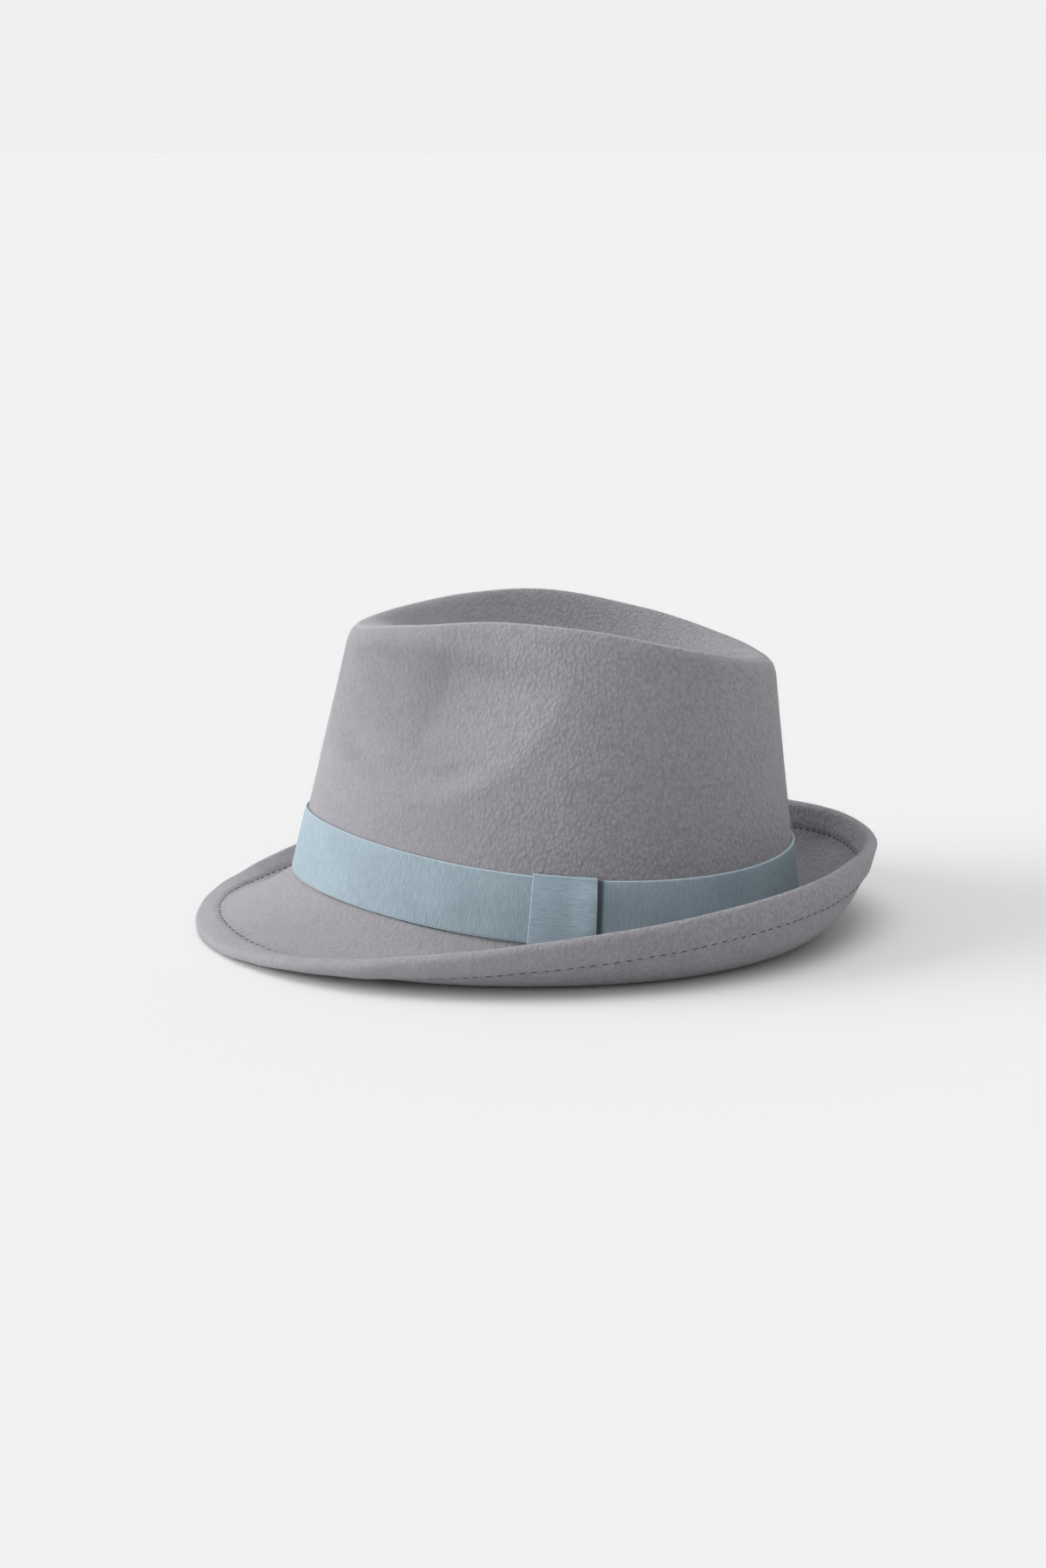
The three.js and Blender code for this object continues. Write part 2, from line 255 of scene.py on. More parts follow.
@dataclass(frozen=True)
class HatForm:
    """The blocked form that the felt takes and that the ribbon follows."""

    crown_length: float = 200.0 * MILLIMETRE
    crown_width: float = 171.0 * MILLIMETRE
    crown_height: float = 118.5 * MILLIMETRE
    front_narrowing: float = 4.5 * MILLIMETRE
    felt_thickness: float = 2.2 * MILLIMETRE
    shoulder_reach: float = 9.0 * MILLIMETRE
    crease_depth: float = 22.0 * MILLIMETRE
    crease_length: float = 132.0 * MILLIMETRE
    crease_end_drop: float = 1.5 * MILLIMETRE
    break_reach: float = 4.0 * MILLIMETRE
    break_wave: float = 2.7 * MILLIMETRE
    brim_width: float = 43.5 * MILLIMETRE
    hem_width: float = 10.5 * MILLIMETRE
    hem_thickness: float = 4.4 * MILLIMETRE
    rest_tilt: float = 4.3
    rest_flattening: float = 0.5 * MILLIMETRE
    dent: PinchDent = PinchDent()
    ridge_rows: tuple[RidgeRow, ...] = (
        RidgeRow(rise=0.85, inset=0.193),
        RidgeRow(rise=0.906, inset=0.32),
        RidgeRow(rise=0.98, inset=0.426),
        RidgeRow(rise=0.997, inset=0.345),
        RidgeRow(rise=0.937, inset=0.26),
        RidgeRow(rise=0.86, inset=0.235),
        RidgeRow(rise=0.815, inset=0.202),
    )
    brim_steps: int = 24
    brim_rows: tuple[BrimRow, ...] = (
        BrimRow(width=0.885, leave=-30.0, edge=-31.0),
        BrimRow(width=0.915, leave=-49.0, edge=6.0),
        BrimRow(width=1.005, leave=-48.0, edge=51.0),
        BrimRow(width=0.995, leave=-35.0, edge=89.0),
        BrimRow(width=0.99, leave=-18.0, edge=111.0),
        BrimRow(width=0.935, leave=7.0, edge=103.0),
        BrimRow(width=0.905, leave=40.0, edge=66.0),
    )
    wall_waves_range: tuple[float, float] = (0.2, 0.5)
    wall_waves: SoftWaves = SoftWaves(height=0.45 * MILLIMETRE, counts=(3, 5, 7, 11), seed=4)

    def around(self, rows: Sequence[RidgeRow | BrimRow], column: str, turn: Array) -> Array:
        """Read one column of a table at any turn, on a smooth curve mirrored at both ends.

        Args:
            rows: rows from the middle of the front to the middle of the back.
            column: the name of the column.
            turn: degrees round the hat.

        Returns:
            The value at each turn.
        """
        values = np.array([getattr(row, column) for row in rows])
        last = len(rows) - 1
        place = np.abs(turn) / HALF_TURN * last
        start = np.minimum(np.floor(place).astype(int), last - 1)
        share = place - start

        def value_at(step: int) -> Array:
            """Read the row so many steps on, mirrored past both ends."""
            index = np.abs(start + step)
            return values[np.where(index > last, 2 * last - index, index)]

        before, near, far, after = (value_at(step) for step in (-1, 0, 1, 2))
        pull = (far - before) / 2.0
        push = (after - near) / 2.0
        square = share * share
        cube = square * share
        return (
            near * (2.0 * cube - 3.0 * square + 1.0)
            + pull * (cube - 2.0 * square + share)
            + far * (3.0 * square - 2.0 * cube)
            + push * (cube - square)
        )

    def foot(self, turn: Array) -> Array:
        """Give points of the oval at the foot of the crown, slightly narrower in front.

        Args:
            turn: degrees round the hat.

        Returns:
            x and y for each turn.
        """
        angle = np.radians(turn)
        half_width = self.crown_width / 2.0 - self.front_narrowing * np.cos(angle)
        return np.stack([half_width * np.sin(angle), -self.crown_length / 2.0 * np.cos(angle)], -1)

    def place(self, turn: Array, out: Array, up: Array) -> Array:
        """Turn (turn, out, up) into points of the hat before it is laid down.

        Args:
            turn: degrees round the hat.
            out: distance from the foot along its outward normal.
            up: height over the foot.

        Returns:
            x, y and z for each place.
        """
        reach = 0.05
        along = self.foot(turn + reach) - self.foot(turn - reach)
        along = along / np.linalg.norm(along, axis=-1, keepdims=True)
        foot = self.foot(turn)
        wave = self.break_wave * np.cos(2.0 * np.radians(turn))
        x = foot[..., 0] + along[..., 1] * out
        y = foot[..., 1] - along[..., 0] * out
        return np.stack(np.broadcast_arrays(x, y, up + wave), -1)

    def ridge_corner(self, turn: Array) -> tuple[Array, Array]:
        """Give (out, up) of the corner where wall and top would meet without a shoulder.

        Args:
            turn: degrees round the hat.

        Returns:
            out and up of the corner for each turn.
        """
        inset = self.around(self.ridge_rows, "inset", turn) * self.crown_width / 2.0
        rise = self.around(self.ridge_rows, "rise", turn) * self.crown_height
        return -inset, rise

    def wall(self, turn: Array, share: Array) -> Array:
        """Give points of the wall, dents included.

        Args:
            turn: degrees round the hat.
            share: 0 at the foot to 1 at the ridge.

        Returns:
            The points.
        """
        corner_out, corner_up = self.ridge_corner(turn)
        up = corner_up * share
        fade = smooth(1.0 - share, 0.0, self.dent.fade_share)
        press = self.dent.press(turn, up) * fade
        uneven = self.wall_waves.at(turn, up) * smooth(share, *self.wall_waves_range)
        return self.place(turn, corner_out * share - press + uneven, up)

    def crease(self, turn: Array) -> Array:
        """Give the point of the lengthwise crease on which both sides meet.

        Args:
            turn: degrees round the hat.

        Returns:
            The points.
        """
        along = -np.cos(np.radians(turn))
        front = self.ridge_corner(np.array(0.0))[1]
        back = self.ridge_corner(np.array(HALF_TURN))[1]
        edge = front + (back - front) * (along + 1.0) / 2.0 + self.break_wave
        depth = self.crease_depth * (1.0 - along**2)
        y = along * self.crease_length / 2.0
        return np.stack([np.zeros_like(along), y, edge - self.crease_end_drop - depth], -1)

    def top(self, turn: Array, share: Array) -> Array:
        """Give points of the top, which falls from the ridge to the crease, steeply at first.

        Args:
            turn: degrees round the hat.
            share: 0 at the ridge to 1 at the crease.

        Returns:
            The points.
        """
        ridge = self.place(turn, *self.ridge_corner(turn))
        crease = self.crease(turn)
        share = np.broadcast_to(share, turn.shape)[..., None]
        fall = np.sin(share * math.pi / 2.0)
        flat = ridge + (crease - ridge) * share
        steep = ridge + (crease - ridge) * fall
        return np.concatenate([flat[..., :2], steep[..., 2:]], -1)

    def shoulder_share_of_top(self, turn: Array) -> Array:
        """Give the share of the top that the rounded shoulder takes up.

        Args:
            turn: degrees round the hat.

        Returns:
            The share for each turn, at most a half where the top is short.
        """
        ridge = self.place(turn, *self.ridge_corner(turn))
        length = np.linalg.norm(ridge - self.crease(turn), axis=-1)
        return np.minimum(self.shoulder_reach, length / 2.0) / length

    def top_row(self, turn: Array, share: float) -> Array:
        """Give a row of the top, from the crease at 0 to the shoulder at 1."""
        return self.top(turn, 1.0 + (self.shoulder_share_of_top(turn) - 1.0) * share)

    def wall_row(self, turn: Array, share: float) -> Array:
        """Give a row of the wall, from the foot at 0 to the shoulder at 1."""
        corner_up = self.ridge_corner(turn)[1]
        return self.wall(turn, share * (1.0 - self.shoulder_reach / corner_up))

    def shoulder_row(self, turn: Array, share: float) -> Array:
        """Give a row of the shoulder, from the top at 0 to the wall at 1.

        Args:
            turn: degrees round the hat.
            share: the place between top and wall.

        Returns:
            The points.
        """
        start, end = self.top_row(turn, 1.0), self.wall_row(turn, 1.0)
        ridge = self.place(turn, *self.ridge_corner(turn))
        return self.bend(start, ridge, end, share)

    def break_row(self, turn: Array, share: float) -> Array:
        """Give a row of the break, which turns the wall out into the brim.

        Args:
            turn: degrees round the hat.
            share: 0 at the wall to 1 at the brim.

        Returns:
            The points.
        """
        leave = np.radians(self.around(self.brim_rows, "leave", turn))
        corner_out, corner_up = self.ridge_corner(turn)
        lean = -corner_out / corner_up
        reach = self.break_reach * (1.0 - lean) / (np.cos(leave) + lean * np.sin(leave))
        zero = np.zeros_like(turn)
        start = self.place(turn, zero, zero)
        control = self.place(
            turn,
            self.break_reach - reach * np.cos(leave),
            -self.break_reach - reach * np.sin(leave),
        )
        end = self.place(turn, zero + self.break_reach, zero - self.break_reach)
        return self.bend(start, control, end, share)

    def brim_row(self, turn: Array, share: float) -> Array:
        """Give a row of the brim, whose slope changes evenly from the break to the edge.

        Args:
            turn: degrees round the hat.
            share: 0 at the break to 1 at the edge.

        Returns:
            The points.
        """
        leave = np.radians(self.around(self.brim_rows, "leave", turn))
        edge = np.radians(self.around(self.brim_rows, "edge", turn))
        steps = self.brim_steps
        length = self.brim_length(turn) * share / steps
        out = np.full_like(turn, self.break_reach)
        up = np.full_like(turn, -self.break_reach)
        for step in range(steps):
            slope = leave + (edge - leave) * share * (step + 0.5) / steps
            out = out + np.cos(slope) * length
            up = up + np.sin(slope) * length
        return self.place(turn, out, up)

    def brim_length(self, turn: Array) -> Array:
        """Give the brim's length in section, from the break to where its edge starts to round."""
        width = self.around(self.brim_rows, "width", turn) * self.brim_width
        return width - self.hem_thickness / 2.0

    def ribbon(self, turn: Array, clear: Array, height: Array) -> Array:
        """Give points that follow the wall above its foot.

        Args:
            turn: degrees round the hat.
            clear: distance from the wall's face.
            height: distance along the wall from the foot.

        Returns:
            The points.
        """
        corner_out, corner_up = self.ridge_corner(turn)
        lean = np.arctan2(-corner_out, corner_up)
        out = -height * np.sin(lean) + clear * np.cos(lean)
        up = height * np.cos(lean) + clear * np.sin(lean)
        return self.place(turn, out, up)

    @staticmethod
    def bend(start: Array, control: Array, end: Array, share: float) -> Array:
        """Give a point of the curve from start to end that bends towards one control point."""
        rest = 1.0 - share
        return start * rest**2 + control * (2.0 * rest * share) + end * share**2


@dataclass(frozen=True)
class RestingPlace:
    """How the hat lies: tilted, lowered until its brim touches, and set over the origin."""

    tilt: float
    shift: tuple[float, float, float]

    @classmethod
    def of(cls, form: HatForm, points: Array) -> "RestingPlace":
        """Find the place from the felt's points.

        Args:
            form: the hat's form, which gives the tilt and how far the felt is flattened.
            points: all points of the felt before it is laid down.

        Returns:
            The resting place.
        """
        tilted = cls(form.rest_tilt, (0.0, 0.0, 0.0)).turned(points.reshape(-1, 3))
        low, high = tilted.min(axis=0), tilted.max(axis=0)
        middle = (low + high) / 2.0
        return cls(form.rest_tilt, (-middle[0], -middle[1], -low[2] - form.rest_flattening))

    def turned(self, points: Array) -> Array:
        """Tilt points about the hat's crossways axis.

        Args:
            points: points before the hat is laid down.

        Returns:
            The tilted points.
        """
        angle = -math.radians(self.tilt)
        x, y, z = points[..., 0], points[..., 1], points[..., 2]
        turned_y = y * math.cos(angle) - z * math.sin(angle)
        turned_z = y * math.sin(angle) + z * math.cos(angle)
        return np.stack([x, turned_y, turned_z], -1)

    def settle(self, points: Array) -> Array:
        """Lay points down, pressed flat where they would sink into the floor.

        Args:
            points: points before the hat is laid down.

        Returns:
            The points as they lie.
        """
        settled = self.turned(points) + np.array(self.shift)
        settled[..., 2] = np.maximum(settled[..., 2], 0.0)
        return settled


class MeshMaker:
    """Collects points, quads and their map coordinates, and makes one smooth mesh of them."""

    def __init__(self) -> None:
        """Start with nothing."""
        self.points: list[Array] = []
        self.quads: list[Array] = []
        self.maps: list[Array] = []
        self.count = 0

    def add_points(self, points: Array) -> Array:
        """Add points.

        Args:
            points: an array whose last axis holds x, y and z.

        Returns:
            Their indices, in an array of the same form.
        """
        shape = points.shape[:-1]
        flat = points.reshape(-1, 3)
        indices = np.arange(self.count, self.count + len(flat)).reshape(shape)
        self.points.append(flat)
        self.count += len(flat)
        return indices

    def add_quads(self, indices: Array, uv: Array) -> None:
        """Add the quads of a grid.

        Args:
            indices: point indices, one row for each ring. A closed grid repeats its first column.
            uv: map coordinates of the same grid.
        """
        corners = [(slice(None, -1), slice(None, -1)), (slice(1, None), slice(None, -1)),
                   (slice(1, None), slice(1, None)), (slice(None, -1), slice(1, None))]
        self.quads.append(np.stack([indices[rows, steps].ravel() for rows, steps in corners], -1))
        self.maps.append(np.stack([uv[rows, steps].reshape(-1, 2) for rows, steps in corners], 1))

    def make(self, name: str, material: Material) -> Piece:
        """Make the object.

        Args:
            name: the piece's name.
            material: its finish.

        Returns:
            The object, linked to the scene.
        """
        points = np.concatenate(self.points)
        quads = np.concatenate(self.quads)
        maps = np.concatenate(self.maps)
        corner_lists, map_lists = [], []
        for quad, quad_map in zip(quads.tolist(), maps.tolist()):
            corners = [corner for corner in range(4) if quad[corner] != quad[corner - 1]]
            if len(corners) > 2:
                corner_lists.append([quad[corner] for corner in corners])
                map_lists.extend(quad_map[corner] for corner in corners)
        mesh = bpy.data.meshes.new(name)
        mesh.from_pydata(points.tolist(), [], corner_lists)
        layer = mesh.uv_layers.new(name="UVMap")
        layer.data.foreach_set("uv", np.array(map_lists).ravel())
        mesh.polygons.foreach_set("use_smooth", [True] * len(mesh.polygons))
        mesh.update()
        piece = bpy.data.objects.new(name, mesh)
        piece.data.materials.append(material)
        show(piece)
        return piece


class NodeBoard:
    """The nodes of a material or a world, with short calls that add and join them."""

    def __init__(self, owner: Material | bpy.types.World) -> None:
        """Start with an empty board.

        Args:
            owner: the material or world that the nodes belong to.
        """
        owner.use_nodes = True
        self.owner = owner
        self.tree = owner.node_tree
        self.tree.nodes.clear()

    def feed(self, socket: Socket, value: object) -> None:
        """Join a socket to the one given, or set it to the value given."""
        if isinstance(value, Socket):
            self.tree.links.new(value, socket)
        else:
            socket.default_value = value

    def add(self, kind: str, inputs: Optional[dict] = None, **settings: object) -> bpy.types.Node:
        """Add a node.

        Args:
            kind: the node's type.
            inputs: input names or numbers, each with a value or with a socket to join it to.
            settings: the node's own settings.

        Returns:
            The node.
        """
        node = self.tree.nodes.new(kind)
        for name, value in settings.items():
            setattr(node, name, value)
        for name, value in (inputs or {}).items():
            self.feed(node.inputs[name], value)
        return node

    def noise(self, vector: Socket, size: float, detail: float, roughness: float = 0.5,
              distortion: float = 0.0) -> Socket:
        """Add noise.

        Args:
            vector: where it is read.
            size: the size of its grains.
            detail: how many finer layers it has.
            roughness: how strong those are.
            distortion: how much it is stirred.

        Returns:
            The noise, from 0 to 1.
        """
        inputs = {"Vector": vector, "Scale": 1.0 / size, "Detail": detail,
                  "Roughness": roughness, "Distortion": distortion}
        return self.add("ShaderNodeTexNoise", inputs).outputs["Fac"]

    def math(self, operation: str, first: object, second: object = 0.0, third: object = 0.0) -> Socket:
        """Reckon with up to three values or sockets."""
        inputs = {0: first, 1: second, 2: third}
        return self.add("ShaderNodeMath", inputs, operation=operation).outputs[0]

    def total(self, start: float, *parts: tuple[Socket, float]) -> Socket:
        """Add shares of several values to a first one.

        Args:
            start: the first value.
            parts: each further value, with its share.

        Returns:
            The sum.
        """
        result: object = start
        for value, share in parts:
            result = self.math("MULTIPLY_ADD", value, share, result)
        return result

    def wave(self, place: Socket, pitch: float) -> Socket:
        """Add a wave from -1 to 1 that repeats at a pitch."""
        return self.math("SINE", self.math("MULTIPLY", place, 2.0 * math.pi / pitch))

    def away(self, place: Socket, middle: float) -> Socket:
        """Measure how far a place is from a middle, on either side."""
        return self.math("ABSOLUTE", self.math("SUBTRACT", place, middle))

    def stretch(self, vector: Socket, scale: Colour) -> Socket:
        """Stretch coordinates by a factor along each axis."""
        inputs = {"Vector": vector, "Scale": scale}
        return self.add("ShaderNodeMapping", inputs).outputs["Vector"]

    def map(self) -> tuple[Socket, Socket, Socket]:
        """Read the mesh's map.

        Returns:
            The map's coordinates, then the first and the second of them alone.
        """
        uv = self.add("ShaderNodeUVMap", uv_map="UVMap").outputs["UV"]
        parts = self.add("ShaderNodeSeparateXYZ", {"Vector": uv}).outputs
        return uv, parts["X"], parts["Y"]

    def between(self, share: Socket, low: float, high: float,
                start: float = 0.0, end: float = 1.0) -> Socket:
        """Stretch the part of a value between two limits to the range from start to end."""
        inputs = {"Value": share, "From Min": low, "From Max": high, "To Min": start, "To Max": end}
        return self.add("ShaderNodeMapRange", inputs, clamp=True).outputs["Result"]

    def contrast(self, noise: Socket, start: float = 0.0, end: float = 1.0) -> Socket:
        """Stretch the middle of a noise, where most of it lies, to the range from start to end."""
        return self.between(noise, *NOISE_MIDDLE, start, end)

    def blend(self, share: Socket, first: Socket | Colour, second: Socket | Colour) -> Socket:
        """Blend two colours.

        Args:
            share: 0 for the first colour to 1 for the second.
            first: a colour or a socket.
            second: a colour or a socket.

        Returns:
            The blended colour.
        """
        node = self.add("ShaderNodeMix", {"Factor": share}, data_type="RGBA")
        ends = [socket for socket in node.inputs if socket.type == "RGBA"]
        for socket, value in zip(ends, (first, second)):
            self.feed(socket, value if isinstance(value, Socket) else (*value, 1.0))
        return next(socket for socket in node.outputs if socket.type == "RGBA")

    def bump(self, height: Socket, distance: float, strength: float = 1.0,
             normal: Optional[Socket] = None) -> Socket:
        """Raise the surface by a height.

        Args:
            height: the height, from 0 to 1.
            distance: how high 1 is.
            strength: how much of it is used.
            normal: a raised surface that this one is added to.

        Returns:
            The raised surface's normal.
        """
        inputs = {"Height": height, "Distance": distance, "Strength": strength}
        if normal is not None:
            inputs["Normal"] = normal
        return self.add("ShaderNodeBump", inputs).outputs["Normal"]

    def finish(self, **inputs: object) -> Material:
        """Add the surface shader.

        Args:
            inputs: its inputs, named with _ for each space.

        Returns:
            The material.
        """
        named = {name.replace("_", " "): value for name, value in inputs.items()}
        shader = self.add("ShaderNodeBsdfPrincipled", named)
        self.add("ShaderNodeOutputMaterial", {"Surface": shader.outputs["BSDF"]})
        return self.owner


@dataclass(frozen=True)
class FeltFinish:
    """Grey wool felt: a short mottled nap that has pilled a little, and lighter along the ridge as a
    painted highlight.
    """

    shade: Colour = (0.215, 0.209, 0.226)
    light: Colour = (0.390, 0.381, 0.408)
    pill_size: float = 1.5 * MILLIMETRE
    pill_height: float = 0.9 * MILLIMETRE
    nap_size: float = 1.1 * MILLIMETRE
    brushed_front: float = -45.0 * MILLIMETRE
    pilled_side: float = 10.0 * MILLIMETRE
    brushed_share: float = 0.38
    fibre_size: float = 0.42 * MILLIMETRE
    fibre_height: float = 0.16 * MILLIMETRE
    mottle_size: float = 6.0 * MILLIMETRE
    cloud_size: float = 55.0 * MILLIMETRE
    stitch_pitch: float = 4.3 * MILLIMETRE
    pucker_height: float = 0.25 * MILLIMETRE
    pucker_reach: float = 3.5 * MILLIMETRE
    dome_range: tuple[float, float] = (0.05, 0.8)
    dome_share: float = 0.4
    nap_share: float = 0.6
    base_tone: float = 0.26
    mottle_tone: float = 0.14
    fibre_tone: float = 0.22
    cloud_tone: float = 0.12
    # Painted highlight: the felt is made lighter along the ridge.
    ridge_highlight_tone: float = 0.8
    ridge_highlight_range: tuple[float, float] = (1.3, 2.0)

    def material(self, hem_width: float, brim_width: float) -> Material:
        """Make the material.

        Args:
            hem_width: the distance of the stitch line from the brim's edge.
            brim_width: the brim's width. The map's height is twice that on the ridge, where the felt
                is made lighter as a painted highlight.

        Returns:
            The material.
        """
        board = NodeBoard(bpy.data.materials.new("grey_felt"))
        place = board.add("ShaderNodeTexCoord").outputs["Object"]
        upright = board.stretch(place, (1.0, 1.0, 0.7))
        cells = board.add("ShaderNodeTexVoronoi", {"Vector": upright, "Scale": 1.0 / self.pill_size})
        domes = board.between(cells.outputs["Distance"], *self.dome_range, 1.0, 0.0)
        nap = board.noise(upright, self.nap_size, detail=2.0, distortion=0.5)
        pills = board.total(0.0, (nap, self.nap_share), (domes, self.dome_share))
        fibres = board.noise(place, self.fibre_size, detail=3.0, roughness=0.65, distortion=1.2)
        mottle = board.noise(place, self.mottle_size, detail=3.0, roughness=0.6, distortion=0.3)
        clouds = board.noise(place, self.cloud_size, detail=2.0)
        along = board.add("ShaderNodeSeparateXYZ", {"Vector": place}).outputs["Y"]
        worn = board.between(along, self.brushed_front, self.pilled_side, self.brushed_share, 1.0)
        relief = board.math("MULTIPLY", board.math("SUBTRACT", pills, 0.5), worn)
        _, stitched, inwards = board.map()
        # Painted highlight: lighter felt where the map's height marks the ridge.
        ridge_highlight = board.between(inwards, *(share * brim_width for share in self.ridge_highlight_range))
        tone = board.total(
            self.base_tone, (board.contrast(mottle), self.mottle_tone), (relief, 1.0),
            (board.contrast(fibres), self.fibre_tone), (board.contrast(clouds), self.cloud_tone),
            (ridge_highlight, self.ridge_highlight_tone),
        )
        near = board.between(board.away(inwards, hem_width), 0.0, self.pucker_reach, 1.0, 0.0)
        hills = board.total(0.5, (board.wave(stitched, self.stitch_pitch), 0.5))
        puckers = board.math("MULTIPLY", near, hills)
        normal = board.bump(relief, self.pill_height)
        normal = board.bump(fibres, self.fibre_height, strength=0.9, normal=normal)
        normal = board.bump(puckers, self.pucker_height, normal=normal)
        return board.finish(
            Base_Color=board.blend(tone, self.shade, self.light), Normal=normal,
            Roughness=board.contrast(mottle, 0.88, 1.0), Sheen_Weight=0.42, Sheen_Roughness=0.38,
            Sheen_Tint=(0.86, 0.86, 0.9, 1.0), Specular_IOR_Level=0.18,
        )


@dataclass(frozen=True)
class RibbonFinish:
    """Ribbed ribbon: threads that shine a little, a lighter edge on both sides, and on the band a
    painted shadow beside the keeper's free edge.
    """

    name: str
    shade: Colour = (0.198, 0.260, 0.302)
    light: Colour = (0.385, 0.483, 0.546)
    edge: Colour = (0.455, 0.545, 0.600)
    rib_pitch: float = 0.84 * MILLIMETRE
    thread_size: float = 0.4 * MILLIMETRE
    thread_height: float = 0.09 * MILLIMETRE
    slub_size: float = 0.84 / 0.9 * MILLIMETRE
    slub_height: float = 0.16 * MILLIMETRE
    # Painted shadow: a dark stripe on the band beside the keeper's free edge.
    painted_shadow_width: float = 2.4 * MILLIMETRE
    painted_shadow_core: float = 0.45
    painted_shadow_strength: float = 0.9
    painted_shadow_colour: Colour = (0.05, 0.065, 0.075)
    edge_width: float = 0.55 * MILLIMETRE
    edge_core: float = 0.6
    edge_strength: float = 0.8
    cloud_size: float = 26.0 * MILLIMETRE
    rib_tone: float = 0.14
    slub_tone: float = 0.30
    thread_tone: float = 0.20
    cloud_tone: float = 0.22

    def material(self, width: float, painted_shadow_along: Optional[float] = None) -> Material:
        """Make the material. Its map runs along the ribbon and then across it.

        Args:
            width: the ribbon's width.
            painted_shadow_along: how far along it the band is darkened beside the keeper's free edge,
                a painted shadow of that edge.

        Returns:
            The material.
        """
        board = NodeBoard(bpy.data.materials.new(self.name))
        uv, along, across = board.map()
        upright, level = board.stretch(uv, (1.0, 0.25, 1.0)), board.stretch(uv, (0.3, 1.0, 1.0))
        uneven = board.noise(upright, self.slub_size, detail=1.5)
        threads = board.noise(level, self.thread_size, detail=2.0, roughness=0.6)
        clouds = board.noise(uv, self.cloud_size, detail=2.0)
        tone = board.total(
            self.rib_tone, (board.wave(along, self.rib_pitch), -self.rib_tone),
            (board.contrast(uneven), self.slub_tone), (board.contrast(threads), self.thread_tone),
            (board.contrast(clouds), self.cloud_tone),
        )
        half = width / 2.0
        edge = board.between(
            board.away(across, half), half - self.edge_width, half - self.edge_width * self.edge_core,
            0.0, self.edge_strength,
        )
        colour = board.blend(edge, board.blend(tone, self.shade, self.light), self.edge)
        # Painted shadow: blend the band towards a dark colour in a stripe beside the keeper's free
        # edge; depth is how much of it is blended in.
        if painted_shadow_along is not None:
            core = self.painted_shadow_width * self.painted_shadow_core
            beside = board.away(along, painted_shadow_along)
            depth = board.between(beside, core, self.painted_shadow_width, self.painted_shadow_strength, 0.0)
            colour = board.blend(depth, colour, self.painted_shadow_colour)
        normal = board.bump(threads, self.thread_height, strength=0.9)
        normal = board.bump(uneven, self.slub_height, strength=0.9, normal=normal)
        return board.finish(
            Base_Color=colour, Normal=normal,
            Roughness=board.contrast(threads, 0.55, 0.75), Sheen_Weight=0.12, Sheen_Roughness=0.4,
            Sheen_Tint=(0.8, 0.9, 0.95, 1.0), Specular_IOR_Level=0.3,
        )


@dataclass(frozen=True)
class ThreadFinish:
    """Sewing thread, darker than the felt: the thread's own grey, darkened as a painted shade of the
    groove it lies in.
    """

    # Both colours are the thread's grey darkened: painted shade of the stitch groove.
    shade: Colour = (0.055, 0.053, 0.060)
    light: Colour = (0.120, 0.116, 0.128)
    ply_size: float = 0.25 * MILLIMETRE
    ply_height: float = 0.06 * MILLIMETRE

    def material(self) -> Material:
        """Make the material.

        Returns:
            The material.
        """
        board = NodeBoard(bpy.data.materials.new("thread_with_painted_shade"))
        place = board.add("ShaderNodeTexCoord").outputs["Object"]
        plies = board.noise(place, self.ply_size, detail=2.0, roughness=0.6, distortion=0.8)
        return board.finish(
            Base_Color=board.blend(board.contrast(plies), self.shade, self.light),
            Normal=board.bump(plies, self.ply_height, strength=0.8),
            Roughness=board.contrast(plies, 0.6, 0.8), Sheen_Weight=0.1, Sheen_Roughness=0.4,
        )


@dataclass(frozen=True)
class StitchRing:
    """One ring of a stitch: its place along it, and its size and rise in thread radii."""

    along: float
    size: float
    rise: float


